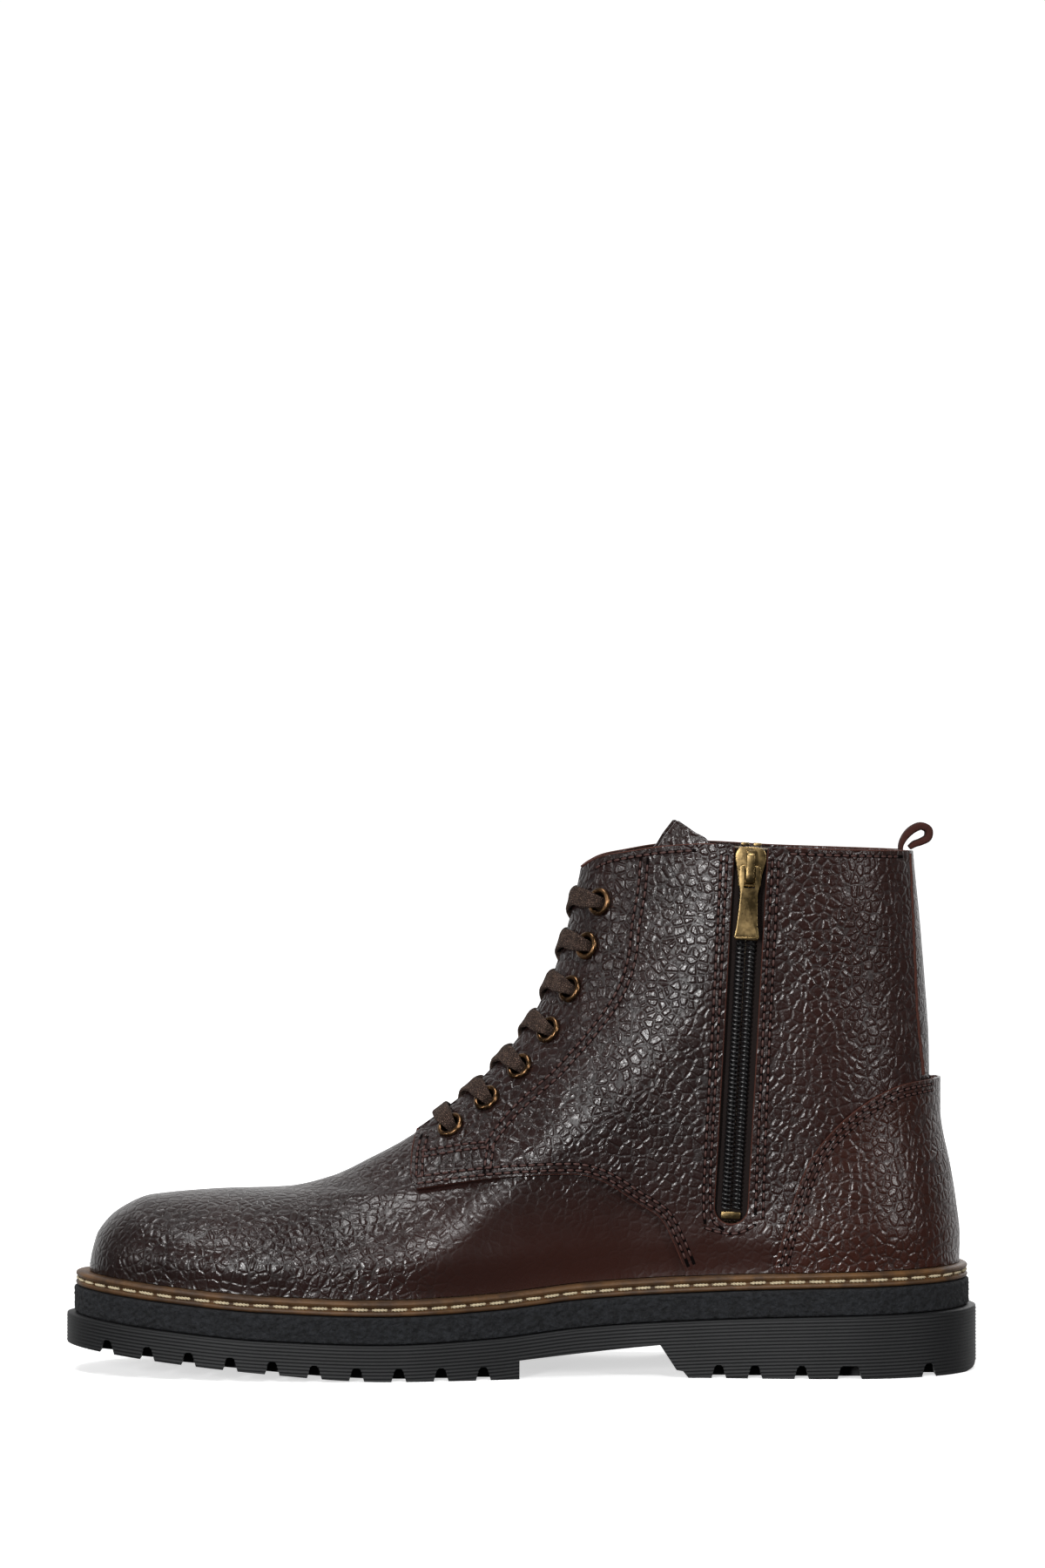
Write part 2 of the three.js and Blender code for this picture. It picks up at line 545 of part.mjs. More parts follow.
const zipFoot = ZIP_BOTTOM.clone();
zipFoot.y = middleY(zipFoot.x, zipFoot.z) - halfWidth(zipFoot.x, zipFoot.z);
const zipHead = ZIP_TOP.clone();
zipHead.y = middleY(zipHead.x, zipHead.z) - halfWidth(zipHead.x, zipHead.z);
const zipLength = zipFoot.distanceTo(zipHead);
const zipAlong = zipHead.clone().sub(zipFoot).normalize();
const zipOut = new THREE.Vector3(0, -1, 0);
zipOut.addScaledVector(zipAlong, -zipOut.dot(zipAlong)).normalize();
const zipAcross = zipAlong.clone().cross(zipOut);
const zipMatrix = new THREE.Matrix4().makeBasis(zipAcross, zipAlong, zipOut).setPosition(zipFoot);
const zipBox = (x0, x1, y0, y1, z0, z1) => {
  const geometry = new THREE.BoxGeometry(x1 - x0, y1 - y0, z1 - z0);
  geometry.translate((x0 + x1) / 2, (y0 + y1) / 2, (z0 + z1) / 2);
  return geometry;
};
const inZip = (geometry) => toSolid(geometry.clone().applyMatrix4(zipMatrix));
// The opening for the zip: round at its foot through the leather, square through the lining.
const ZIP_CUT = { inward: -14, outward: 12, past: 20, lining: -6 };
function zipSlot(half, rounded) {
  const { inward, outward, past } = ZIP_CUT;
  const foot = rounded ? 0 : ZIP_CUT.lining;
  const straight = inZip(zipBox(-half, half, foot, zipLength + past, inward, outward));
  if (!rounded) return straight;
  const round = new THREE.CylinderGeometry(half, half, outward - inward, 16);
  round.rotateX(Math.PI / 2);
  round.translate(0, 0, (outward + inward) / 2);
  return inZip(round).add(straight);
}

function eyeletTool(pair, side) {
  const radius = EYELET_BORE + EYELET_WALL + EYELET_CLEARANCE;
  const cylinder = new THREE.CylinderGeometry(radius, radius, 14, EYELET_SIDES);
  cylinder.rotateX(Math.PI / 2);
  return toSolid(cylinder.applyMatrix4(eyeletMatrix(pair, side)));
}
function eyeletMatrix(pair, side) {
  const { position, out, along } = place(eyeletLength(pair), side * eyeletFromCentre(pair), 0);
  return new THREE.Matrix4().makeBasis(along, out.clone().cross(along), out).setPosition(position);
}
const eachEyelet = (solid, side) => {
  let cut = solid;
  for (let pair = 1; pair <= EYELET_PAIRS; pair++) cut = cut.subtract(eyeletTool(pair, side));
  return cut;
};
function onSide(solid, side) {
  const [y0, y1] = side < 0 ? [-WIDE, -GAP / 2] : [GAP / 2, WIDE];
  return solid.intersect(box(-FAR, FAR, y0, y1, UNDER, HIGH));
}
function makeQuarter(side) {
  const sheet = panel(GAP, OUTER, quarterOutline).intersect(underTopline(0));
  const quarter = eachEyelet(onSide(sheet, side).subtract(throatGap()), side);
  return side < 0 ? quarter.subtract(zipSlot(ZIP_SLOT_HALF, true)) : quarter;
}
function makeStay(side) {
  const sheet = panel(-STAY, 0, stayOutline).intersect(underTopline(-2));
  return eachEyelet(onSide(sheet, side).subtract(throatGap()), side);
}
const makeVamp = () => panel(-LEATHER, 0, vampOutline);
const makeBackStrip = () => panel(-LEATHER, 0, backStripOutline).intersect(underTopline(0));
const makeCounter = () => panel(OUTER + GAP, OUTER + GAP + LEATHER, counterOutline);
const makeStiffener = () => panel(-LEATHER - GAP - STIFFENER, -LEATHER - GAP, stiffenerOutline);
const makeToePuff = () => panel(-LEATHER - GAP - STIFFENER, -LEATHER - GAP, puffOutline);
const makeTongue = () => panel(TONGUE_OUT - TONGUE, TONGUE_OUT, tongueOutline);

const LOOP_HALF_WIDTH = 5;
const LOOP_OUTER = 3.5; // depths of the leg's faces inside the back of the upper
const LOOP_INNER = 4.7;
const loopLegX = (z, inset) => backX(z) - inset;
const LOOP_FOOT = SHAFT_TOP - 28;
const LOOP_RISE = SHAFT_TOP - 2; // where the leg comes out at the topline
const loopLeg = (grow, outer = LOOP_OUTER) => [
  [loopLegX(LOOP_FOOT, LOOP_INNER) - grow, LOOP_FOOT - grow], [loopLegX(LOOP_FOOT, outer), LOOP_FOOT - grow],
  [loopLegX(LOOP_RISE, outer), LOOP_RISE], [loopLegX(LOOP_RISE, LOOP_INNER) - grow, LOOP_RISE],
];
function makeLining() {
  let lining = panel(LINING_IN, LINING_OUT, [[-FAR, 0], [FAR, 0], [FAR, HIGH], [-FAR, HIGH]]);
  lining = lining.intersect(underTopline(-1)).subtract(sidePrism(throatOutline));
  lining = lining.subtract(zipSlot(ZIP_SLOT_HALF + 0.4, false));
  return lining.subtract(sidePrism(loopLeg(GAP, 0), -LOOP_HALF_WIDTH - GAP, LOOP_HALF_WIDTH + GAP));
}
function makePullLoop() {
  const x = loopLegX(LOOP_RISE, LOOP_OUTER) + 0.7;
  const shifted = (points) => points.map(([along, up]) => [x + along, LOOP_RISE + up]);
  const bow = shifted([
    [-0.7, 0], [3.2, 1.4], [8.2, 3.6], [8.8, 6], [6.4, 8.6], [2.4, 8.2], [-1.2, 5.4], [-2.6, 2], [-1.9, 0],
  ]);
  const slit = shifted([[0.6, 2.6], [1.4, 2.2], [6.4, 4.9], [6.2, 6.1], [5.4, 6.3]]);
  const half = LOOP_HALF_WIDTH;
  const legPiece = sidePrism(loopLeg(0), -half, half);
  return sidePrism(bow, -half, half).subtract(sidePrism(slit, -half - 1, half + 1)).add(legPiece);
}

// ---------------------------------------------------------------- eyelets and lace
function makeEyelet() {
  const barrel = EYELET_BORE + EYELET_WALL;
  const seat = OUTER + EYELET_SEAT_GAP;
  const profile = [
    [EYELET_BORE, -2.4], [barrel, -2.4], [barrel, seat], [EYELET_FLANGE, seat],
    [EYELET_FLANGE - 0.5, seat + 0.8], [EYELET_BORE, seat + 0.8], [EYELET_BORE, -2.4],
  ];
  const lathe = new THREE.LatheGeometry(profile.map(([r, z]) => new THREE.Vector2(r, z)), EYELET_SIDES);
  lathe.rotateX(Math.PI / 2);
  return lathe;
}

// One flat lace: it lies across the lowest pair, then each end goes in through an eyelet, under the facing,
// out of the throat and over the other facing into the next eyelet up. Each point is a place, its share of the
// lace's full width, and whether the lace runs along the facing there.
const LACE_OVER = OUTER + 1.2;
const LACE_UNDER = -3.9;
const AGLET_LENGTH = 16;
const TAIL_START = 18; // lengths below the top pair of eyelets
const TAIL_END = (EYELET_PAIRS - 1) * EYELET_PITCH - AGLET_LENGTH - 6.8;
const TAIL_STEPS = 4;
function laceHalf(side, crossing) {
  const points = [];
  let s = side;
  const edge = THROAT_HALF_GAP;
  for (let pair = EYELET_PAIRS; pair >= 1; pair--) {
    const here = eyeletLength(pair);
    const eye = eyeletFromCentre(pair);
    points.push([here, s * (edge + 1.8), LACE_OVER + 0.4, 1], [here, s * (eye - 6), LACE_OVER + 0.7, 1]);
    points.push([here, s * (eye - 2.8), LACE_OVER + 1.7, 0.7], [here, s * (eye - 0.2), OUTER + 1, 0.5]);
    points.push([here, s * eye, -1.5, 0.5]);
    if (pair === 1) break;
    points.push([here + 1, s * (eye - 2), LACE_UNDER - 0.3, 0.7]);
    points.push([here + 3.4, s * (edge + 3), LACE_UNDER, 0.8]);
    points.push([here + EYELET_PITCH / 2, 0, crossing, 0.8]);
    points.push([here + EYELET_PITCH - 3, -s * (edge - 3), 2.2, 0.85]);
    s = -s;
  }
  const top = eyeletLength(1);
  const topEye = eyeletFromCentre(1);
  const channel = topEye + 4.5;
  points.push([top - 1.5, s * (topEye + 2), LACE_UNDER - 0.3, 0.7]);
  points.push([top - 7, s * channel, LACE_UNDER, 0.8, true]);
  for (let i = 0; i <= TAIL_STEPS; i++) {
    points.push([top - mix(TAIL_START, TAIL_END, i / TAIL_STEPS), s * channel, LACE_UNDER, 1, true]);
  }
  return points;
}
const halves = [laceHalf(-1, -1.9), laceHalf(1, -4.1)];
const laceMiddle = [eyeletLength(EYELET_PAIRS), 0, LACE_OVER - 1.2, 1];
const laceStations = [...halves[0].slice().reverse(), laceMiddle, ...halves[1]];

// A solid swept along points with a flat six-sided section; each point's section lies across its own direction.
function flatSweep(points, across, halfWidths, halfThickness) {
  const outline = [[1, 0], [0.75, 1], [-0.75, 1], [-1, 0], [-0.75, -1], [0.75, -1]];
  const vertices = [];
  let width = across[0].clone();
  points.forEach((p, i) => {
    const [before, after] = [points[Math.max(i - 1, 0)], points[Math.min(i + 1, points.length - 1)]];
    const along = after.clone().sub(before).normalize();
    const wanted = across[i].clone().addScaledVector(along, -across[i].dot(along));
    if (wanted.dot(width) < 0) wanted.negate();
    const steer = 0.6 * wanted.length();
    width.addScaledVector(along, -width.dot(along)).addScaledVector(wanted, steer).normalize();
    const up = along.clone().cross(width);
    for (const [u, v] of outline) {
      const corner = p.clone().addScaledVector(width, u * halfWidths[i]);
      vertices.push(corner.addScaledVector(up, v * halfThickness[i]));
    }
  });
  const [n, last] = [outline.length, (points.length - 1) * outline.length];
  const triangles = [];
  for (let i = 0; i < points.length - 1; i++) {
    for (let j = 0; j < n; j++) {
      const [a, b] = [i * n + j, i * n + ((j + 1) % n)];
      triangles.push(a, b, a + n, b, b + n, a + n);
    }
  }
  for (let j = 1; j < n - 1; j++) triangles.push(0, j + 1, j, last, last + j, last + j + 1);
  return meshFrom(vertices, triangles);
}
function makeLace() {
  const placed = laceStations.map(([s, a, offset]) => place(s, a, offset));
  const widths = laceStations.map((station) => (LACE_WIDTH / 2) * station[3]);
  const thickness = laceStations.map((station) => (LACE_THICKNESS / 2) * mix(1.25, 1, station[3]));
  const across = placed.map((p, i) => (laceStations[i][4] ? p.out.clone().cross(p.along) : p.along));
  return flatSweep(placed.map((p) => p.position), across, widths, thickness);
}
function makeAglet(side) {
  const half = side < 0 ? halves[0] : halves[1];
  const [s, a, offset] = half.at(-1);
  const ends = [GAP, AGLET_LENGTH / 2, AGLET_LENGTH].map((d) => place(s - d, a, offset));
  const radius = ends.map(() => 1.2);
  const across = ends.map((p) => p.out.clone().cross(p.along));
  return flatSweep(ends.map((p) => p.position), across, radius, radius);
}

// ---------------------------------------------------------------- zip
// In its own frame: x across the zip, y up it, z out of the boot.
const COIL_INNER = 0.7;
const COIL_LOW = -0.6;
const COIL_TOP = COIL_LOW + COIL_THICKNESS;
const TOP_STOP = { width: 2.7, height: 1.1, inset: 0.2 };
const TAPE_TOP = COIL_LOW - GAP;
const SLIDER_TOP = zipLength - 0.4;
const SLIDER_LOW = SLIDER_TOP - SLIDER_LENGTH;
const PIN_Y = (SLIDER_TOP + SLIDER_LOW) / 2;
const PLATE_TOP = COIL_TOP + GAP + PLATE;
const PIN_Z = PLATE_TOP + 1;
const PIN_HALF = 0.6;
const BRIDGE = { halfWidth: 1.4, halfLength: 5.7, wall: 1.1, height: 2.9 };
const PULL_WINDOW = { halfWidth: 1.9, length: 7 };

const coil = (side) => {
  const [x0, x1] = side < 0 ? [-COIL_INNER - COIL_WIDTH, -COIL_INNER] : [COIL_INNER, COIL_INNER + COIL_WIDTH];
  return zipBox(x0, x1, -1, zipLength - GAP, COIL_LOW, COIL_TOP);
};
const tape = (side) => {
  const [x0, x1] = side < 0 ? [-TAPE_HALF_WIDTH, -COIL_INNER] : [COIL_INNER, TAPE_HALF_WIDTH];
  return zipBox(x0, x1, -4.5, zipLength - 1, TAPE_TOP - TAPE_THICKNESS, TAPE_TOP);
};
const topStop = (side) => {
  const { width, height, inset } = TOP_STOP;
  const [x0, x1] = side < 0 ? [-COIL_INNER - width, -COIL_INNER] : [COIL_INNER, COIL_INNER + width];
  return zipBox(x0, x1, zipLength, zipLength + height, COIL_LOW + inset, COIL_TOP - inset);
};
const bottomStop = () => {
  const half = ZIP_SLOT_HALF - 2.4;
  return zipBox(-half, half, 1.8 - ZIP_SLOT_HALF, -1.3, COIL_LOW, COIL_TOP);
};

function plate(z0, z1) {
  const [half, mid] = [SLIDER_HALF_WIDTH, SLIDER_LENGTH / 2];
  const shape = new THREE.Shape();
  shape.moveTo(-half * 0.72, -mid);
  shape.lineTo(half * 0.72, -mid);
  shape.quadraticCurveTo(half * 0.8, -mid * 0.2, half, mid * 0.3);
  shape.quadraticCurveTo(half, mid, half * 0.4, mid);
  shape.lineTo(-half * 0.4, mid);
  shape.quadraticCurveTo(-half, mid, -half, mid * 0.3);
  shape.quadraticCurveTo(-half * 0.8, -mid * 0.2, -half * 0.72, -mid);
  const settings = { depth: z1 - z0, bevelEnabled: false, curveSegments: 3 };
  const geometry = new THREE.ExtrudeGeometry(shape, settings);
  geometry.translate(0, PIN_Y, z0);
  return toSolid(geometry);
}
function makeSlider() {
  const underside = TAPE_TOP - TAPE_THICKNESS - GAP;
  const [postLow, postTop] = [underside - 0.1, COIL_TOP + GAP + 0.1];
  const post = toSolid(zipBox(-0.35, 0.35, PIN_Y + 1.5, SLIDER_TOP - 0.6, postLow, postTop));
  const { halfWidth: half, halfLength, wall, height } = BRIDGE;
  const low = PLATE_TOP - 0.1;
  const crown = PLATE_TOP + height;
  const bridge = toSolid(zipBox(-half, half, PIN_Y - halfLength, PIN_Y + halfLength, low, crown));
  const inside = halfLength - wall;
  const arch = zipBox(-half - 1, half + 1, PIN_Y - inside, PIN_Y + inside, low - 1, crown - PLATE);
  const top = plate(COIL_TOP + GAP, PLATE_TOP);
  return plate(underside - PLATE, underside).add(post).add(top).add(bridge.subtract(toSolid(arch)));
}
function makePull() {
  const shape = new THREE.Shape();
  const [waist, end] = [PULL_HALF_WIDTH, PULL_HALF_WIDTH + 0.7];
  shape.moveTo(-waist, PIN_HALF);
  shape.lineTo(-waist + 0.2, -PULL_LENGTH * 0.45);
  shape.lineTo(-end, -PULL_LENGTH + 1.2);
  shape.lineTo(-end + 0.6, -PULL_LENGTH + 0.6);
  shape.lineTo(end - 0.6, -PULL_LENGTH + 0.6);
  shape.lineTo(end, -PULL_LENGTH + 1.2);
  shape.lineTo(waist - 0.2, -PULL_LENGTH * 0.45);
  shape.lineTo(waist, PIN_HALF);
  const window = new THREE.Path();
  const { halfWidth: half, length } = PULL_WINDOW;
  window.moveTo(-half, -PIN_HALF);
  window.lineTo(half, -PIN_HALF);
  window.lineTo(half, -length);
  window.lineTo(-half, -length);
  shape.holes.push(window);
  const geometry = new THREE.ExtrudeGeometry(shape, { depth: PULL_THICKNESS, bevelEnabled: false });
  geometry.translate(0, 0, -PULL_THICKNESS / 2);
  return geometry;
}

// ---------------------------------------------------------------- materials and assembly
function finish(color, roughness, metalness = 0) {
  return new THREE.MeshStandardMaterial({ color, roughness, metalness });
}
const leather = finish(0x3a2622, 0.45);
const rubber = finish(0x1c1d20, 0.8);
const crepe = finish(0x303338, 0.95);
const weltLeather = finish(0x7a4f28, 0.7);
const thread = finish(0xd8cdb4, 0.8);
const board = finish(0xa58a62, 0.9);
const steel = finish(0x8a8d90, 0.4, 1);
const fleece = finish(0xb9ab96, 1);
const brass = finish(0x6e5a3a, 0.45, 1);
const webbing = finish(0x4b4038, 0.85);
const nylon = finish(0x111113, 0.6);

const boot = new THREE.Group();
function add(name, geometryOrSolid, material, parent = boot) {
  const geometry = geometryOrSolid.isBufferGeometry ? geometryOrSolid : toGeometry(geometryOrSolid);
  const mesh = new THREE.Mesh(geometry, material);
  mesh.name = name;
  parent.add(mesh);
  return mesh;
}
add("outsole", makeOutsole(), rubber);
add("midsole", makeMidsole(), crepe);
add("welt", makeWelt(), weltLeather);
add("welt_thread", makeWeltThread(), thread);
add("insole_board", makeInsoleBoard(), board);
add("bottom_filler", makeFiller(), board);
add("shank", shankBlock(0), steel);
add("footbed", makeFootbed(), fleece);
add("lining", makeLining(), fleece);
add("toe_puff", makeToePuff(), board);
add("heel_stiffener", makeStiffener(), board);
add("vamp", makeVamp(), leather);
add("quarter_medial", makeQuarter(-1), leather);
add("quarter_lateral", makeQuarter(1), leather);
add("facing_stay_medial", makeStay(-1), leather);
add("facing_stay_lateral", makeStay(1), leather);
add("back_strip", makeBackStrip(), leather);
add("heel_counter_cover", makeCounter(), leather);
add("tongue", makeTongue(), leather);
add("pull_loop", makePullLoop(), leather);
for (const [side, word] of [[-1, "medial"], [1, "lateral"]]) {
  for (let pair = 1; pair <= EYELET_PAIRS; pair++) {
    const eyelet = add("eyelet_" + word + "_" + pair, makeEyelet(), brass);
    eyeletMatrix(pair, side).decompose(eyelet.position, eyelet.quaternion, eyelet.scale);
  }
}
add("lace", makeLace(), webbing);
add("aglet_medial", makeAglet(-1), nylon);
add("aglet_lateral", makeAglet(1), nylon);

const zip = new THREE.Group();
zipMatrix.decompose(zip.position, zip.quaternion, zip.scale);
boot.add(zip);
add("zip_tape_front", tape(-1), nylon, zip);
add("zip_tape_rear", tape(1), nylon, zip);
add("zip_coil_front", coil(-1), nylon, zip);
add("zip_coil_rear", coil(1), nylon, zip);
add("zip_top_stop_front", topStop(-1), brass, zip);
add("zip_top_stop_rear", topStop(1), brass, zip);
add("zip_bottom_stop", bottomStop(), brass, zip);
add("zip_slider", makeSlider(), brass, zip);
add("zip_pull", makePull(), brass, zip).position.set(0, PIN_Y, PIN_Z);

export default boot;
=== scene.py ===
"""Looks for a right ankle boot: pebbled leather upper, lace-up front, inner side zip, stitched welt, lug sole.

Shapes are worked out in millimetres in the CAD model's frame and made into meshes in metres.
"""

import json
import math

import bmesh
import bpy
import numpy as np
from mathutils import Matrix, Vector

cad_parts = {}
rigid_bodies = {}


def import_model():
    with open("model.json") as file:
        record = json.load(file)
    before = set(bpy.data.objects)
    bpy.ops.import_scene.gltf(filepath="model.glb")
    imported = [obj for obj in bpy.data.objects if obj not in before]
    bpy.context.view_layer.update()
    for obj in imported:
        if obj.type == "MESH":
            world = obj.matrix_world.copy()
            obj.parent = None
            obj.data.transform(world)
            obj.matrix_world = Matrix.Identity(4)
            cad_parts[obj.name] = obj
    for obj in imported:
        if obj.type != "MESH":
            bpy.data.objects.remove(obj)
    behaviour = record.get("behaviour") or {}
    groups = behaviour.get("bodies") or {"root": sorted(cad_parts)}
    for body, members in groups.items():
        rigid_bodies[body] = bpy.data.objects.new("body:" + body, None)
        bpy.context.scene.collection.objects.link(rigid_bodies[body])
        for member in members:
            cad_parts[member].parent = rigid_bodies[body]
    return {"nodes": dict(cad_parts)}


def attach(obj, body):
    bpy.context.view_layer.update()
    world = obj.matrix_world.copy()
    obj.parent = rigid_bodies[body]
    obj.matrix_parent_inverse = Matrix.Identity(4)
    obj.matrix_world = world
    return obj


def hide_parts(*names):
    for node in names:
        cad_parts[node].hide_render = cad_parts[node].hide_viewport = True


for start_object in list(bpy.data.objects):
    bpy.data.objects.remove(start_object)
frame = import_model()
bpy.context.view_layer.update()
MM = 0.001
SIDES = {-1: "medial", 1: "lateral"}
ZIP_SIDES = {-1: "front", 1: "rear"}
rng = np.random.default_rng(7)

# ------------------------------------------------------------------ camera: far off, level with the shaft
camera_data = bpy.data.cameras.new("camera")
camera_data.lens = 135
camera_data.sensor_width = 36
camera_data.clip_end = 50
camera = bpy.data.objects.new("camera", camera_data)
camera.location = (0, -2.0, 0.205)
camera.rotation_euler = (math.pi / 2 - math.atan2(0.205 - 0.198, 2.0), 0, 0)
bpy.context.scene.collection.objects.link(camera)
bpy.context.scene.camera = camera
bpy.context.scene.view_settings.view_transform = "Standard"

# ------------------------------------------------------------------ driving sizes, as in the CAD model
TOE_X, HEEL_X = -147.0, 145.0
SHAFT_TOP = 178.0
SHAFT_HALF_WIDTH, ANKLE_HALF_WIDTH, ANKLE_HEIGHT = 36.5, 34.0, 90.0
TOE_ROUND, HEEL_ROUND, SHAFT_FRONT_ROUND, SHAFT_BACK_ROUND = 60.0, 38.0, 55.0, 46.0
GAP, LEATHER, LINING, STAY, TONGUE = 0.3, 1.6, 3.0, 1.2, 2.6
WELT_THICKNESS, MIDSOLE_THICKNESS = 4.9, 8.9
WELT_REACH_TOE, WELT_REACH_HEEL = 4.4, 6.2
MIDSOLE_REACH, OUTSOLE_REACH_SIDE, OUTSOLE_REACH_END = 0.5, 1.2, 2.8
FOOT_LEVEL, FOOT_TO_SHAFT = 36.0, 52.0
FOREPART_END, HEEL_BREAST, ARCH_LIFT, HEEL_LIFT = -1.0, 47.0, 6.2, 10.9
LUG_WIDTH, LUG_HEIGHT, LUG_DEPTH = 3.6, 4.4, 11.0
EYELET_PAIRS, EYELET_PITCH = 7, 14.8
TOP_EYELET_FROM_CENTRE, LOW_EYELET_FROM_CENTRE = 21.5, 15.8
EYELET_BORE, EYELET_FLANGE = 2.9, 4.75
THROAT_HALF_GAP, THROAT_X = 7.0, -37.0
LACE_WIDTH, LACE_THICKNESS = 6.4, 1.5
OUTER = LEATHER + GAP
LINING_OUT = -2 * LEATHER
LINING_IN = LINING_OUT - LINING
TONGUE_OUT = LINING_IN - GAP


# ------------------------------------------------------------------ curves
def curve(points):
    """A smooth curve through points with rising x that never overshoots them, straight past its ends."""
    xs, ys = np.array(points, float).T
    slopes = np.diff(ys) / np.diff(xs)
    product = slopes[:-1] * slopes[1:]
    total = slopes[:-1] + slopes[1:]
    inner = np.where(product > 0, 2 * product / np.where(total == 0, 1, total), 0)
    tangents = np.concatenate([slopes[:1], inner, slopes[-1:]])

    def value(x):
        x = np.asarray(x, float)
        i = np.clip(np.searchsorted(xs, x, side="right") - 1, 0, len(xs) - 2)
        width = xs[i + 1] - xs[i]
        t = np.clip((x - xs[i]) / width, 0, 1)
        y0, y1 = ys[i], ys[i + 1]
        m0, m1 = tangents[i] * width, tangents[i + 1] * width
        y = y0 + m0 * t + (3 * (y1 - y0) - 2 * m0 - m1) * t**2 + (m0 + m1 - 2 * (y1 - y0)) * t**3
        return y + tangents[0] * np.minimum(x - xs[0], 0) + tangents[-1] * np.maximum(x - xs[-1], 0)

    return value


def unit(vectors):
    """Vectors kept in rows, each scaled to length 1."""
    return vectors / np.linalg.norm(vectors, axis=-1, keepdims=True)


def directions(points):
    """The direction of a line at each of its points."""
    return unit(np.gradient(points, axis=0))


def full_turn(count):
    return np.linspace(0, 2 * np.pi, count, endpoint=False)


def signed_power(values, power):
    """Powers that keep the sign, for sections between a circle and a rectangle."""
    return np.sign(values) * np.abs(values) ** power


def clamp01(t):
    return np.clip(t, 0, 1)


def smooth(t):
    t = clamp01(t)
    return t * t * (3 - 2 * t)


def mix(a, b, t):
    return a + (b - a) * t


crest_height = curve([
    (TOE_X, 35), (TOE_X + 0.6, 39), (TOE_X + 3, 46.5), (TOE_X + 10.5, 54), (TOE_X + 21, 58.6), (-106, 60.5),
    (-80, 61.6), (-65, 64.8), (-51, 71.2), (-37, 79), (-22, 90), (-12, 99), (-2, 110.5), (5.5, 122), (12, 136),
    (16.5, 150.5), (19, 162), (22.5, 180), (26, 200),
])
back_x = curve([
    (10, HEEL_X), (36, HEEL_X - 0.2), (45, HEEL_X), (56, HEEL_X - 1.2), (68, HEEL_X - 3), (88, HEEL_X - 6.4),
    (110, HEEL_X - 6.8), (128, HEEL_X - 8.2), (147, HEEL_X - 9.7), (165, HEEL_X - 11.2), (200, HEEL_X - 14),
])
welt_top = curve([
    (-155, 34), (-120, 30.5), (-85, 27.6), (-45, 26.3), (-10, 27.8), (21, 31), (60, 33.4), (90, 34.6), (155, 36),
])
outsole_bottom = curve([(-156, 9.6), (-113, 5.2), (-84, 2.5), (-58, 0.5), (-42, 0), (-41, 0)])
foot_half_width = curve([
    (TOE_X, 42), (-110, 43.5), (-80, 46), (-55, 47.5), (-40, 47), (-20, 44), (0, 39), (20, 35.4), (40, 33.6),
    (60, 33.6), (80, 34.6), (100, 35.5), (HEEL_X, 35.5),
])
foot_middle = curve([(TOE_X, -5), (-100, -2), (-60, 0), (-20, 2.5), (20, 4), (60, 2), (100, 0), (HEEL_X, 0)])
crest_xs = np.linspace(TOE_X, 40, 40001)
crest_zs = crest_height(crest_xs)


def crest_x(z):
    return np.interp(z, crest_zs, crest_xs)


def half_width(x, z):
    """Half width of the upper at a point of the side view; 0 on its outline."""
    x, z = np.broadcast_arrays(np.asarray(x, float), np.asarray(z, float))
    low = welt_top(x)
    shaft = mix(ANKLE_HALF_WIDTH, SHAFT_HALF_WIDTH, (z - ANKLE_HEIGHT) / (SHAFT_TOP - ANKLE_HEIGHT))
    full = mix(foot_half_width(x), shaft, smooth((z - FOOT_LEVEL) / FOOT_TO_SHAFT))
    below = np.maximum(0, crest_height(x) - np.maximum(z, low))
    behind = np.maximum(0, x - crest_x(np.maximum(z, crest_height(TOE_X))))
    ahead = np.maximum(0, back_x(z) - x)
    ridge = smooth((x + 90) / 80)
    crest_round = mix(0.95 * (crest_height(x) - low), 52, ridge)
    front_round = mix(TOE_ROUND, SHAFT_FRONT_ROUND, smooth((z - 60) / 50))
    back_round = mix(HEEL_ROUND, SHAFT_BACK_ROUND, smooth((z - 60) / 60))
    down = 1 - (1 - clamp01(below / crest_round)) ** mix(2.4, 1.9, ridge)
    back = 1 - (1 - clamp01(behind / front_round)) ** mix(2, 1.7, smooth((z - 60) / 50))
    front = 1 - (1 - clamp01(ahead / back_round)) ** 2.1
    tuck = 1 - 0.045 * (1 - smooth((z - low) / 14))
    inside = (down > 0) & (back > 0) & (front > 0)
    safe_down, safe_back = np.where(inside, down, 1), np.where(inside, back, 1)
    return np.where(inside, full * tuck * np.sqrt(front / (1 / safe_down + 1 / safe_back - 1)), 0)


def middle_y(x, z):
    return foot_middle(x) * (1 - smooth((np.asarray(z, float) - FOOT_LEVEL) / FOOT_TO_SHAFT))


# ------------------------------------------------------------------ mesh helpers
def link_mesh(name, mesh):
    obj = bpy.data.objects.new(name, mesh)
    bpy.context.scene.collection.objects.link(obj)
    return obj


def make_object(name, vertices, faces, smooth_shading=True):
    """A mesh object from points in millimetres."""
    mesh = bpy.data.meshes.new(name)
    mesh.from_pydata((np.asarray(vertices, float) * MM).tolist(), [], [list(map(int, f)) for f in faces])
    mesh.update()
    if smooth_shading:
        mesh.polygons.foreach_set("use_smooth", [True] * len(mesh.polygons))
    return link_mesh(name, mesh)


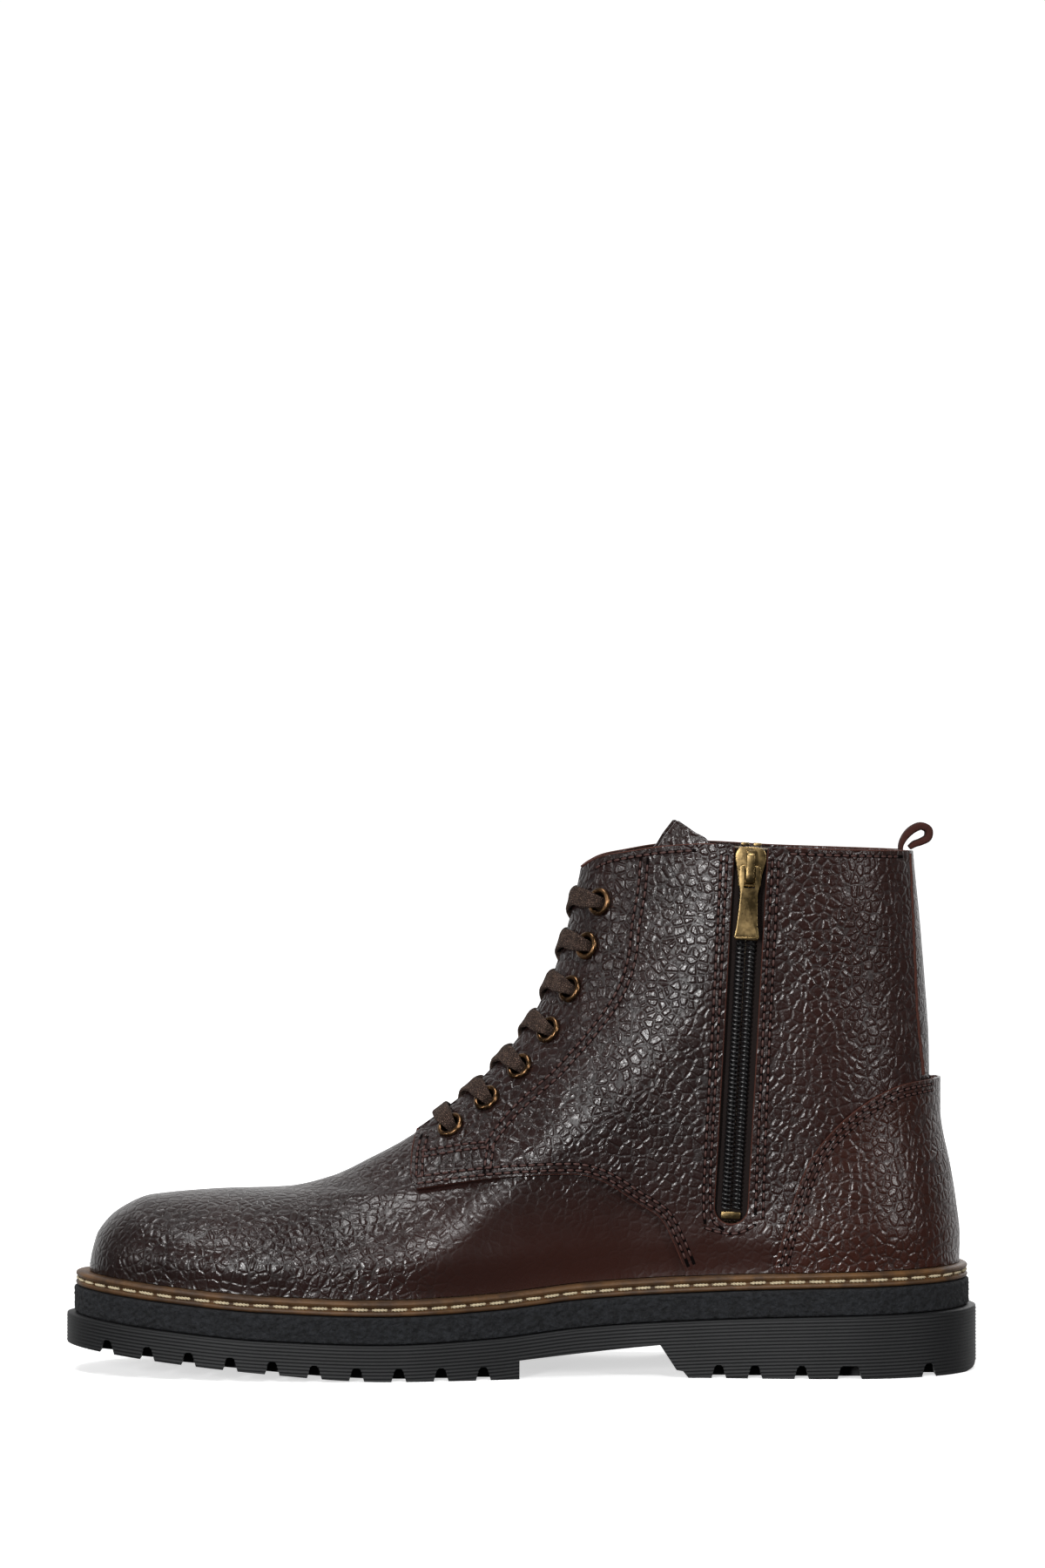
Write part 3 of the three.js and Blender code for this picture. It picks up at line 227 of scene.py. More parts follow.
def fast_object(name, vertices, face_groups):
    """A mesh object from points in millimetres and arrays of faces, one array for each number of corners."""
    vertices = np.asarray(vertices, float) * MM
    groups = [np.asarray(g, np.int32) for g in face_groups if len(g)]
    sizes = np.concatenate([np.full(len(g), g.shape[1], np.int32) for g in groups])
    corners = np.concatenate([g.ravel() for g in groups])
    mesh = bpy.data.meshes.new(name)
    mesh.vertices.add(len(vertices))
    mesh.vertices.foreach_set("co", vertices.astype(np.float32).ravel())
    mesh.loops.add(len(corners))
    mesh.loops.foreach_set("vertex_index", corners)
    mesh.polygons.add(len(sizes))
    mesh.polygons.foreach_set("loop_start", np.concatenate([[0], np.cumsum(sizes)[:-1]]).astype(np.int32))
    mesh.update(calc_edges=True)
    mesh.polygons.foreach_set("use_smooth", [True] * len(mesh.polygons))
    return link_mesh(name, mesh)


def grid_quads(rows, columns, start=0, wrap_rows=False, wrap_columns=False, flip=False):
    """Faces over a grid of points kept row by row."""
    i = np.arange(rows if wrap_rows else rows - 1)
    j = np.arange(columns if wrap_columns else columns - 1)
    i, j = np.meshgrid(i, j, indexing="ij")
    i2, j2 = (i + 1) % rows, (j + 1) % columns
    quads = np.stack([i * columns + j, i * columns + j2, i2 * columns + j2, i2 * columns + j], -1).reshape(-1, 4)
    if flip:
        quads = quads[:, ::-1]
    return quads + start


def merge_close(obj, distance=5e-7):
    work = bmesh.new()
    work.from_mesh(obj.data)
    bmesh.ops.remove_doubles(work, verts=work.verts, dist=distance)
    bmesh.ops.dissolve_degenerate(work, edges=work.edges, dist=1e-7)
    work.to_mesh(obj.data)
    work.free()


def apply_modifiers(obj):
    bpy.context.view_layer.update()
    evaluated = obj.evaluated_get(bpy.context.evaluated_depsgraph_get())
    mesh = bpy.data.meshes.new_from_object(evaluated)
    obj.modifiers.clear()
    obj.data = mesh


def boolean(obj, other, operation):
    modifier = obj.modifiers.new("cut", "BOOLEAN")
    modifier.operation = operation
    modifier.solver = "MANIFOLD"
    modifier.object = other
    apply_modifiers(obj)
    remove(other)


def remove(obj):
    mesh = obj.data
    bpy.data.objects.remove(obj)
    bpy.data.meshes.remove(mesh)


def prism(outline, low, high, axis="y"):
    """An outline extruded along y (points are x, z) or z (points are x, y)."""
    outline = np.asarray(outline, float)
    area = np.sum(outline[:, 0] * np.roll(outline[:, 1], -1) - np.roll(outline[:, 0], -1) * outline[:, 1])
    if area < 0:
        outline = outline[::-1]
    n = len(outline)
    layers = []
    for level in (low, high):
        if axis == "y":
            layers.append(np.column_stack([outline[:, 0], np.full(n, level), outline[:, 1]]))
        else:
            layers.append(np.column_stack([outline[:, 0], outline[:, 1], np.full(n, level)]))
    faces = [[i, (i + 1) % n, n + (i + 1) % n, n + i] for i in range(n)]
    faces += [list(range(n))[::-1], list(range(n, 2 * n))]
    if axis == "y":
        faces = [f[::-1] for f in faces]
    return make_object("prism", np.vstack(layers), faces, False)


def box(x0, x1, y0, y1, z0, z1):
    return prism([(x0, y0), (x1, y0), (x1, y1), (x0, y1)], z0, z1, "z")


def sharpen(obj, degrees=35):
    obj.data.set_sharp_from_angle(angle=math.radians(degrees))


def flat_size(v):
    return np.hypot(*v)


def solid_size(v):
    return np.linalg.norm(v[:3])


def spline_run(corners, size, fewest, step):
    """Points from the second to the third of four points, on a centripetal spline through them."""
    p0, p1, p2, p3 = corners
    a, b, c = (size(q - p) ** 0.5 + 1e-9 for p, q in ((p0, p1), (p1, p2), (p2, p3)))
    m1 = b * ((p1 - p0) / a - (p2 - p0) / (a + b) + (p2 - p1) / b)
    m2 = b * ((p2 - p1) / b - (p3 - p1) / (b + c) + (p3 - p2) / c)
    count = max(fewest, int(size(p2 - p1) / step))
    t = (np.arange(count) / count)[:, None]
    return ((2 * t**3 - 3 * t**2 + 1) * p1 + (t**3 - 2 * t**2 + t) * m1
            + (3 * t**2 - 2 * t**3) * p2 + (t**3 - t**2) * m2)


def rounded(points, corners=(), step=1.0):
    """A closed outline through the points, curved between them, with true corners at the listed indices."""
    points = np.asarray(points, float)
    n = len(points)
    out = []
    for i in range(n):
        p0, p1, p2, p3 = points[i - 1], points[i], points[(i + 1) % n], points[(i + 2) % n]
        if i in corners:
            p0 = p1 - (p2 - p1)
        if (i + 1) % n in corners:
            p3 = p2 + (p2 - p1)
        out.append(spline_run((p0, p1, p2, p3), flat_size, 2, step))
    return np.vstack(out)


# ------------------------------------------------------------------ the last
STATIONS, SIDE_STEPS, SOLE_DEPTH = 330, 96, 14.0


def lengths_along(line):
    return np.concatenate([[0], np.cumsum(np.hypot(*np.diff(line, axis=0).T))])


toe_rise = np.arange(crest_height(TOE_X) - SOLE_DEPTH, crest_height(TOE_X), 2)
crest_run = np.arange(TOE_X, 26, 0.1)
crest_line = np.vstack([
    np.column_stack([np.full(len(toe_rise), TOE_X), toe_rise]),
    np.column_stack([crest_run, crest_height(crest_run)])])
sole_run = np.arange(TOE_X, HEEL_X, 1.0)
heel_rise = np.arange(welt_top(HEEL_X) - SOLE_DEPTH, 200, 1.0)
far_line = np.vstack([
    np.column_stack([sole_run, welt_top(sole_run) - SOLE_DEPTH]),
    np.column_stack([back_x(heel_rise), heel_rise])])
crest_lengths, far_lengths = lengths_along(crest_line), lengths_along(far_line)


def along(line, lengths, s):
    return np.stack([np.interp(s, lengths, line[:, 0]), np.interp(s, lengths, line[:, 1])], -1)


def crest_length_at(x):
    start = len(toe_rise)
    return crest_lengths[start:][np.searchsorted(crest_line[start:, 0], x - 1e-9)]


SOLE_LENGTH = HEEL_X - TOE_X
fan_crest = curve([
    (0, crest_length_at(TOE_X)), (0.15, crest_length_at(TOE_X + 12)), (0.31, crest_length_at(-100)),
    (0.48, crest_length_at(THROAT_X)), (0.68, crest_length_at(0)), (1, crest_lengths[-1] - 1)])
fan_far = curve([
    (0, 0), (0.15, 12), (0.31, 48), (0.48, 118), (0.6, SOLE_LENGTH - 60), (0.76, SOLE_LENGTH),
    (0.84, SOLE_LENGTH + 40), (1, far_lengths[-1] - 1)])


def wave(points):
    """Slow unevenness of the leather, in millimetres, the same for every layer."""
    x, y, z = points[..., 0], points[..., 1], points[..., 2]
    slow = np.sin(x / 17 + 1.3 * np.sin(z / 23)) * np.sin(z / 19 + y / 31 + 0.7)
    quick = np.sin(x / 7.3 + z / 11 + 2 * np.sin(y / 21)) * np.sin(z / 8.1 - x / 29)
    return 0.28 * slow + 0.1 * quick


def build_last():
    t = np.linspace(0, 1, STATIONS + 1)
    top = along(crest_line, crest_lengths, fan_crest(t))
    far = along(far_line, far_lengths, fan_far(t))
    s = (1 - np.cos(np.pi * np.arange(SIDE_STEPS + 1) / SIDE_STEPS)) / 2
    x = mix(top[:, None, 0], far[:, None, 0], s)
    z = mix(top[:, None, 1], far[:, None, 1], s)
    w = half_width(x, z)
    w[:, 0] = 0
    y = middle_y(x, z)
    left = np.stack([x, y - w, z], -1)
    right = np.stack([x, y + w, z], -1)[:, ::-1]
    return np.concatenate([left, right[:, :-1]], 1)  # the crest point is shared


last_grid = build_last()
COLUMNS = last_grid.shape[1]


def last_normals(grid):
    n = SIDE_STEPS
    padded = np.concatenate([grid[:, -1:], grid, grid[:, :1]], 1)
    around = padded[:, 2:] - padded[:, :-2]
    around[:, n] = grid[:, n + 2] - grid[:, n - 1]
    around[:, n + 1] = around[:, n]
    lengthwise = np.gradient(grid, axis=0)
    normal = np.cross(around, lengthwise)
    size = np.linalg.norm(normal, axis=-1, keepdims=True)
    normal = normal / np.where(size < 1e-9, 1, size)
    normal[0] = (-1, 0, 0)
    together = np.linalg.norm(grid[:, n] - grid[:, n + 1], axis=-1) < 1e-6
    both = normal[:, n] + normal[:, n + 1]
    both /= np.maximum(np.linalg.norm(both, axis=-1, keepdims=True), 1e-9)
    normal[together, n] = normal[together, n + 1] = both[together]
    return normal


last_out = last_normals(last_grid)
if last_out[STATIONS // 2, SIDE_STEPS // 2, 1] > 0:
    last_out = -last_out
    last_out[0] = (-1, 0, 0)
last_wave = wave(last_grid)[..., None]


def last_surface(offset):
    return last_grid + last_out * (offset + last_wave)


def shell_object(name, inner, outer):
    """A closed shell between two offsets of the last: both skins are whole closed surfaces."""
    points, quads, triangles = [], [], []
    start = 0
    for offset, flip in ((outer, True), (inner, False)):
        surface = last_surface(offset)
        rows = len(surface)
        points.append(surface.reshape(-1, 3))
        quads.append(grid_quads(rows, COLUMNS, start, wrap_columns=True, flip=flip))
        for row, turn in ((0, not flip), (rows - 1, flip)):
            first = start + row * COLUMNS
            j = np.arange(1, SIDE_STEPS)
            cap = np.stack([first + j, first + j + 1, first + COLUMNS - 1 - j, first + COLUMNS - j], -1)
            tip = np.array([[first, first + 1, first + COLUMNS - 1]])
            quads.append(cap[:, ::-1] if turn else cap)
            triangles.append(tip[:, ::-1] if turn else tip)
        start += rows * COLUMNS
    obj = fast_object(name, np.vstack(points), [np.vstack(quads), np.vstack(triangles)])
    merge_close(obj)
    return obj


# ------------------------------------------------------------------ places on the upper
def side_point(x, z, side, offset):
    """Points of a skin, and outward directions, at places given in the side view, on one side of the upper."""
    x, z = np.asarray(x, float), np.asarray(z, float)
    step = 0.4

    def depth(px, pz):
        return side * half_width(px, pz) + middle_y(px, pz)

    base_x, base_z = x, z
    for _ in range(3):
        slope_x = (depth(base_x + step, base_z) - depth(base_x - step, base_z)) / (2 * step)
        slope_z = (depth(base_x, base_z + step) - depth(base_x, base_z - step)) / (2 * step)
        out = np.stack([-side * slope_x, np.full(x.shape, side * 1.0), -side * slope_z], -1)
        out = unit(out)
        base = np.stack([base_x, depth(base_x, base_z), base_z], -1)
        lift = (offset + wave(base))[..., None]
        base_x, base_z = x - out[..., 0] * lift[..., 0], z - out[..., 2] * lift[..., 0]
    base = np.stack([base_x, depth(base_x, base_z), base_z], -1)
    return base + out * lift, out


def crest_frame(s):
    before, after = (along(crest_line, crest_lengths, s + d) for d in (-0.5, 0.5))
    direction = (after - before) / np.hypot(*(after - before))
    origin = along(crest_line, crest_lengths, s)
    return (np.array([origin[0], 0, origin[1]]), np.array([direction[0], 0, direction[1]]),
            np.array([direction[1], 0, -direction[0]]))


def place(s, a, offset):
    """A point s along the crest and an arc a round from it, with its outward and lengthwise directions."""
    origin, direction, inward = crest_frame(s)
    side = 1.0 if a >= 0 else -1.0
    depths = 40 * (np.arange(121) / 120) ** 2
    widths = half_width(origin[0] + inward[0] * depths, origin[2] + inward[2] * depths)
    widths[0] = 0
    arcs = np.concatenate([[0], np.cumsum(np.hypot(np.diff(depths), np.diff(widths)))])
    i = int(np.clip(np.searchsorted(arcs, abs(a)), 1, len(arcs) - 1))
    dd, dw = np.array([depths[i] - depths[i - 1], widths[i] - widths[i - 1]]) / (arcs[i] - arcs[i - 1])
    out = -inward * dw + np.array([0, side * dd, 0])
    if a == 0:
        out = -inward
    position = origin + inward * np.interp(abs(a), arcs, depths)
    position[1] = middle_y(position[0], position[2]) + side * np.interp(abs(a), arcs, widths)
    return position + out * (offset + wave(position)), out, direction


LOWEST_EYELET = crest_length_at(THROAT_X) + 12.5


def eyelet_length(pair):
    return LOWEST_EYELET + (EYELET_PAIRS - pair) * EYELET_PITCH


def eyelet_from_centre(pair):
    return mix(TOP_EYELET_FROM_CENTRE, LOW_EYELET_FROM_CENTRE, (pair - 1) / (EYELET_PAIRS - 1))


def eyelet_frame(pair, side):
    position, out, direction = place(eyelet_length(pair), side * eyelet_from_centre(pair), 0)
    return position, np.column_stack([direction, np.cross(out, direction), out])


# ------------------------------------------------------------------ the zip's own frame
zip_foot = np.array([69.8, 0, 56.5])
zip_head = np.array([76.4, 0, 177.5])
for end in (zip_foot, zip_head):
    end[1] = middle_y(end[0], end[2]) - half_width(end[0], end[2])
ZIP_LENGTH = float(np.linalg.norm(zip_head - zip_foot))
zip_along = (zip_head - zip_foot) / ZIP_LENGTH
zip_out = np.array([0.0, -1, 0])
zip_out = zip_out - zip_along * (zip_out @ zip_along)
zip_out /= np.linalg.norm(zip_out)
zip_across = np.cross(zip_along, zip_out)
zip_basis = np.column_stack([zip_across, zip_along, zip_out])


def from_zip(points):
    """Points given across, up and out of the zip, put in the boot's frame."""
    return np.asarray(points, float) @ zip_basis.T + zip_foot


def into_zip(obj, lift=(0, 0, 0)):
    """Puts an object made in the zip's frame, shifted by lift, into the boot's frame."""
    points = np.array([v.co[:] for v in obj.data.vertices]) / MM + lift
    obj.data.vertices.foreach_set("co", (from_zip(points) * MM).ravel())
    obj.data.update()


ZIP_SLOT_HALF, COIL_WIDTH, COIL_THICKNESS, TAPE_HALF_WIDTH, TAPE_THICKNESS = 5.8, 2.9, 1.8, 9.0, 0.6
COIL_INNER, COIL_LOW = 0.7, -0.6
COIL_TOP = COIL_LOW + COIL_THICKNESS
TAPE_TOP = COIL_LOW - GAP
SLIDER_LENGTH, SLIDER_HALF_WIDTH, PLATE = 13.2, 5.2, 0.8
PULL_LENGTH, PULL_HALF_WIDTH, PULL_THICKNESS = 25.0, 3.4, 1.2
SLIDER_TOP = ZIP_LENGTH - 0.4
SLIDER_LOW = SLIDER_TOP - SLIDER_LENGTH
PIN_Y = (SLIDER_TOP + SLIDER_LOW) / 2
PLATE_TOP = COIL_TOP + GAP + PLATE
PIN_Z = PLATE_TOP + 1

# ------------------------------------------------------------------ outlines in the side view
FAR = 175.0
WIDE = 90.0


def line_over(height, lift, step=2.0):
    x = np.arange(-FAR, FAR + 0.1, step)
    return np.column_stack([x, height(x) + lift])


TOPLINE = [
    (170, 175), (131, 175.4), (87, 176.7), (61, SHAFT_TOP), (46, 177), (36, 175.4), (27, 173.6), (22.5, 171.4),
    (19, 168.6), (14, 166), (-60, 160)]
below_topline = rounded(TOPLINE + [(-60, 0), (170, 0)], {0, 10, 11, 12})
QUARTER_FRONT = [
    (-36, 205), (-36, 82), (-37, 74.5), (-37.3, 66.4), (-35.5, 62.8), (-11, 66.3), (12.8, 67.7), (20.3, 67.4),
    (27.6, 65), (38.6, 58), (46.2, 53), (50.8, 44.6), (54.6, 34), (56, 10)]
QUARTER_REAR = [
    (HEEL_X - 7, 10), (HEEL_X - 7, 60), (HEEL_X - 10.5, 98), (HEEL_X - 11.7, 118), (HEEL_X - 12.8, 140),
    (HEEL_X - 14.2, 175), (HEEL_X - 15, 205)]
quarter_outline = rounded(QUARTER_FRONT + QUARTER_REAR, {0, 4, 13, 14, 20})
vamp_outline = rounded([
    (-FAR, 10), (58, 10), (58, 36), (55, 48), (47, 60), (36, 70), (24, 76), (8, 77), (-22, 75), (-27, 79),
    (-30.5, 90), (-31, 130), (-FAR, 130)], {0, 1, 11, 12})
stay_outline = rounded([
    (-27, 205), (-27, 90), (-23.5, 79.5), (-14, 78.5), (6, 84), (18, 97), (30, 117), (37, 140), (41, 160),
    (44, 205)], {0, 9})
throat_outline = rounded([
    (-32, 205), (-32, 78), (-26, 66), (-8, 73), (6, 85), (17, 101), (26, 120), (33, 140), (37, 160), (40, 205)],
    {0, 9})
tongue_outline = rounded([
    (-46, 169), (-46, 66), (-30, 58), (-8, 66), (10, 82), (28, 106), (40, 130), (52, 158),
    (62.5, SHAFT_TOP + 0.5), (57.6, SHAFT_TOP + 4.2), (52.6, SHAFT_TOP + 7.7), (51.6, SHAFT_TOP + 7.5),
    (48.4, SHAFT_TOP + 3.4), (44, 175.5), (30, 172), (18, 169)], {0, 1, 10, 11})
COUNTER_EDGE = [
    (170, 99), (141, 98.6), (126.5, 96.6), (115, 91.2), (104.3, 82.5), (96.7, 72.8), (90.9, 59.3), (87.2, 46.9),
    (84.3, 34), (84, 10)]
counter_outline = rounded(COUNTER_EDGE + [(170, 10)], {0, 9, 10})
back_strip_outline = [(118, 10), (170, 10), (170, 205), (125, 205), (126, 110)]


def above_welt():
    return prism(np.vstack([line_over(welt_top, GAP), [(FAR, 260), (-FAR, 260)]]), -WIDE, WIDE)


def under_topline(lift):
    return prism(below_topline + (0, lift), -WIDE, WIDE)


def zip_slot(half, foot_round=True):
    """The long opening for the zip, open at the top, as a cutter."""
    turn = np.linspace(np.pi, 2 * np.pi, 25) if foot_round else np.array([np.pi, 2 * np.pi])
    outline = np.column_stack([half * np.cos(turn), half * np.sin(turn)])
    if not foot_round:
        outline[:, 1] = -half
    outline = np.vstack([outline, [(half, ZIP_LENGTH + 20), (-half, ZIP_LENGTH + 20)]])
    cutter = prism(outline, -14, 12, "z")
    into_zip(cutter)
    return cutter


def eyelet_cutters(side, radius):
    """Round bars through the eyelet places of one side, as one mesh."""
    turn = full_turn(32)
    points, quads, ends = [], [], []
    for pair in range(1, EYELET_PAIRS + 1):
        position, basis = eyelet_frame(pair, side)
        start = len(points) * 32
        for level in (-7, 7):
            ring = np.column_stack([radius * np.cos(turn), radius * np.sin(turn), np.full(32, level)])
            points.append(ring @ basis.T + position)
        quads.append(grid_quads(2, 32, start, wrap_columns=True))
        ends += [start + np.arange(32)[::-1], start + 32 + np.arange(32)]
    return fast_object("cutters", np.vstack(points), [np.vstack(quads), np.array(ends)])


def panel(name, inner, outer, outline):
    obj = shell_object(name, inner, outer)
    boolean(obj, prism(outline, -WIDE, WIDE), "INTERSECT")
    boolean(obj, above_welt(), "INTERSECT")
    return obj


def throat_gap():
    return box(-60, 60, -THROAT_HALF_GAP, THROAT_HALF_GAP, 50, 220)


def half_space(side):
    return box(-200, 200, -100, 0, 0, 250) if side < 0 else box(-200, 200, 0, 100, 0, 250)


def cut_facing(obj, side, lift):
    """The cuts that a quarter and its stay share: topline, other side, throat and eyelet holes."""
    boolean(obj, under_topline(lift), "INTERSECT")
    boolean(obj, half_space(side), "INTERSECT")
    boolean(obj, throat_gap(), "DIFFERENCE")
    boolean(obj, eyelet_cutters(side, EYELET_BORE + 0.6), "DIFFERENCE")


def make_quarter(side, name):
    obj = panel(name, 0.06, OUTER, quarter_outline)
    cut_facing(obj, side, 0)
    if side < 0:
        boolean(obj, zip_slot(ZIP_SLOT_HALF), "DIFFERENCE")
    return obj


def make_stay(side, name):
    obj = panel(name, -STAY, 0.0, stay_outline)
    cut_facing(obj, side, -2)
    return obj


def make_lining():
    obj = panel("lining_fleece", LINING_IN, LINING_OUT, [(-FAR, 0), (FAR, 0), (FAR, 250), (-FAR, 250)])
    boolean(obj, under_topline(-1), "INTERSECT")
    boolean(obj, prism(throat_outline, -WIDE, WIDE), "DIFFERENCE")
    boolean(obj, zip_slot(ZIP_SLOT_HALF + 0.4, False), "DIFFERENCE")
    return obj


vamp = panel("vamp_leather", -LEATHER, 0.0, vamp_outline)
quarter_medial = make_quarter(-1, "quarter_medial_leather")
quarter_lateral = make_quarter(1, "quarter_lateral_leather")
stay_medial = make_stay(-1, "facing_stay_medial_leather")
stay_lateral = make_stay(1, "facing_stay_lateral_leather")
back_strip = panel("back_strip_leather", -LEATHER, 0.0, back_strip_outline)
boolean(back_strip, under_topline(0), "INTERSECT")
counter = panel("heel_counter_leather", OUTER + 0.04, OUTER + GAP + LEATHER, counter_outline)
tongue = panel("tongue_leather", TONGUE_OUT - TONGUE, TONGUE_OUT, tongue_outline)
lining = make_lining()


# ------------------------------------------------------------------ sole
def plan_half_width(x):
    toe = 1 - (1 - clamp01((x - TOE_X) / TOE_ROUND)) ** 2
    heel = 1 - (1 - clamp01((HEEL_X - x) / HEEL_ROUND)) ** 2.1
    return foot_half_width(x) * np.sqrt(toe * heel)


def welt_reach(x):
    return mix(WELT_REACH_TOE, WELT_REACH_HEEL, smooth((x + 100) / 120))


def midsole_reach(x):
    return welt_reach(x) + MIDSOLE_REACH


def outsole_reach(x):
    return midsole_reach(x) + mix(OUTSOLE_REACH_SIDE, OUTSOLE_REACH_END, (x / 150) ** 8)


MIDSOLE_TOP = -WELT_THICKNESS - GAP
OUTSOLE_TOP = MIDSOLE_TOP - MIDSOLE_THICKNESS


def sole_rim(count=900):
    """Points round the widest outline of the upper at even spacing, anticlockwise, with outward directions."""
    fine = mix(TOE_X, HEEL_X, (1 - np.cos(np.pi * np.arange(1201) / 1200)) / 2)
    lower = np.column_stack([fine, middle_y(fine, FOOT_LEVEL) - plan_half_width(fine)])
    upper = np.column_stack([fine, middle_y(fine, FOOT_LEVEL) + plan_half_width(fine)])[::-1][1:-1]
    ring = np.vstack([lower, upper])
    closed = np.vstack([ring, ring[:1]])
    s = lengths_along(closed)
    even = np.linspace(0, s[-1], count, endpoint=False)
    points = np.column_stack([np.interp(even, s, closed[:, 0]), np.interp(even, s, closed[:, 1])])
    tangent = np.roll(points, -2, 0) - np.roll(points, 2, 0)
    tangent = unit(tangent)
    return points, np.column_stack([tangent[:, 1], -tangent[:, 0]]), even


rim, rim_out, rim_length = sole_rim()


def rim_surface(reach, section, bump=None):
    """A closed section (out from the reach, up from the top of the welt) carried round the sole."""
    section = np.asarray(section, float)
    r, z = section[:, 0], section[:, 1]
    out = reach(rim[:, 0])[:, None] + r
    if bump is not None:
        out = out + bump(rim_length[:, None], z[None, :], r[None, :])
    xy = rim[:, None, :] + rim_out[:, None, :] * out[..., None]
    level = welt_top(xy[..., 0]) + z
    return np.concatenate([xy, level[..., None]], -1)


def rim_solid(name, reach, section, bump=None):
    grid = rim_surface(reach, section, bump)
    rows, columns = grid.shape[:2]
    return fast_object(name, grid.reshape(-1, 3), [grid_quads(rows, columns, 0, True, True)])


def slab(name, reach, wall, low, high, bump=None):
    """A whole layer of the sole: the wall goes up its side, and flat faces close it below and above."""
    grid = rim_surface(reach, wall, bump)
    rows, columns = grid.shape[:2]
    quads = grid_quads(rows, columns, 0, True, False, flip=True)
    x = np.linspace(TOE_X + 1, HEEL_X - 1, 90)
    spine = np.column_stack([x, middle_y(x, FOOT_LEVEL)])
    nearest = np.abs(rim[:, None, 0] - x[None, :]).argmin(1)
    points = [grid.reshape(-1, 3)]
    faces = []
    start = rows * columns
    for column, level, turn in ((0, low, False), (columns - 1, high, True)):
        centre = np.column_stack([spine, welt_top(x) + level])
        points.append(centre)
        for i in range(rows):
            a, b = i * columns + column, ((i + 1) % rows) * columns + column
            c, d = start + nearest[i], start + nearest[(i + 1) % rows]
            face = [a, b, d, c] if c != d else [a, b, c]
            faces.append(face[::-1] if not turn else face)
        start += len(x)
    triangles = [f for f in faces if len(f) == 3]
    fours = [f for f in faces if len(f) == 4]
    return fast_object(name, np.vstack(points), [np.vstack([quads, fours]), triangles])


def crepe(s, z, r):
    """The open, crumbled side of the midsole."""
    rough = np.sin(s * 1.9 + 3 * np.sin(z * 1.1)) * np.sin(z * 2.3 + 2 * np.sin(s * 0.7))
    rough += 0.8 * np.sin(s * 4.1 + z * 3.7 + 2 * np.sin(s * 0.31)) * np.sin(s * 2.7 - z * 4.3)
    return np.where(r > -0.7, 0.16 * rough, 0)


def striations(s, z, r):
    return np.where((r > -0.5) & (z < OUTSOLE_TOP - 0.8), 0.11 * np.sin(z * 2 * np.pi / 1.15), 0)


def side_wall(low, high, round_off, steps):
    z = np.linspace(low + round_off, high - round_off, steps)
    wall = [(-round_off * 1.2, low), (-round_off * 0.35, low + round_off * 0.35)]
    wall += [(0, level) for level in z]
    return wall + [(-round_off * 0.35, high - round_off * 0.35), (-round_off * 1.2, high)]


welt = rim_solid("welt_leather", welt_reach, [
    (-9, 0), (-5.4, 0), (-4.2, -0.1), (-3.0, 0.05), (-1.9, 0.1), (-0.9, -0.05), (-0.25, -0.42), (0.05, -0.95),
    (-0.05, -1.45), (-0.45, -1.85), (-0.95, -2.1), (-1.15, -2.45), (-1.15, -2.8), (-0.95, -3.05), (-0.4, -3.25),
    (0.0, -3.6), (0.08, -4.1), (-0.15, -4.55), (-0.7, -4.85), (-9, -4.9)])
midsole = slab("midsole_crepe", midsole_reach, side_wall(OUTSOLE_TOP, MIDSOLE_TOP, 0.7, 14),
               OUTSOLE_TOP, MIDSOLE_TOP, crepe)
OUTSOLE_LOW = -46.0
outsole = slab("outsole_rubber", outsole_reach, side_wall(OUTSOLE_LOW, OUTSOLE_TOP - GAP, 0.5, 150),
               OUTSOLE_LOW, OUTSOLE_TOP - GAP, striations)


def cut_outsole():
    x = np.arange(-FAR, -41.9, 1.0)
    bottom = [(px, pz) for px, pz in zip(x, np.maximum(0, outsole_bottom(x)))]
    heel = [
        (HEEL_BREAST - 1, HEEL_LIFT), (HEEL_BREAST + 4.4, 2.6), (HEEL_BREAST + 6.6, 2.2), (HEEL_BREAST + 8.4, 0),
        (149.5, 0), (152.5, 0.9), (154.2, 3), (FAR, 3.2)]
    arch = [(FOREPART_END, 0), (FOREPART_END, ARCH_LIFT)]
    top = [(FAR, 60), (-FAR, 60)]
    boolean(outsole, prism(bottom + arch + heel + top, -WIDE, WIDE), "INTERSECT")
    places = [(FOREPART_END - 12 - 14 * i, 1.0) for i in range(10)]
    places += [(65.5, 1.0), (77.5, 1.0), (93.0, 1.0), (109.0, 1.9), (136.0, 1.0)]
    for px, wide in places:
        floor = float(np.maximum(0, outsole_bottom(px))) if px < -42 else 0.0
        edge = float(plan_half_width(max(px, TOE_X)) + outsole_reach(px))
        low, high = LUG_WIDTH / 2 * wide + 0.8, LUG_WIDTH / 2 * wide - 0.35
        top_z = floor + LUG_HEIGHT
        shape = [
            (px - low, floor - 5), (px + low, floor - 5), (px + low, floor - 0.5), (px + high, top_z - 0.7),
            (px + high - 0.7, top_z), (px - high + 0.7, top_z), (px - high, top_z - 0.7),
            (px - low, floor - 0.5)]
        for side in (-1, 1):
            inner = float(middle_y(px, FOOT_LEVEL)) + side * (edge - LUG_DEPTH)
            y0, y1 = (-90, inner) if side < 0 else (inner, 90)
            boolean(outsole, prism(shape, y0, y1), "DIFFERENCE")
    middle = float(foot_middle(TOE_X))
    boolean(outsole, box(-FAR, -145, middle - 1.8, middle + 1.8, -5, 9 + LUG_HEIGHT), "DIFFERENCE")


cut_outsole()


# ------------------------------------------------------------------ swept pieces
def running_lengths(points):
    return np.concatenate([[0], np.cumsum(np.linalg.norm(np.diff(points, axis=0), axis=1))])


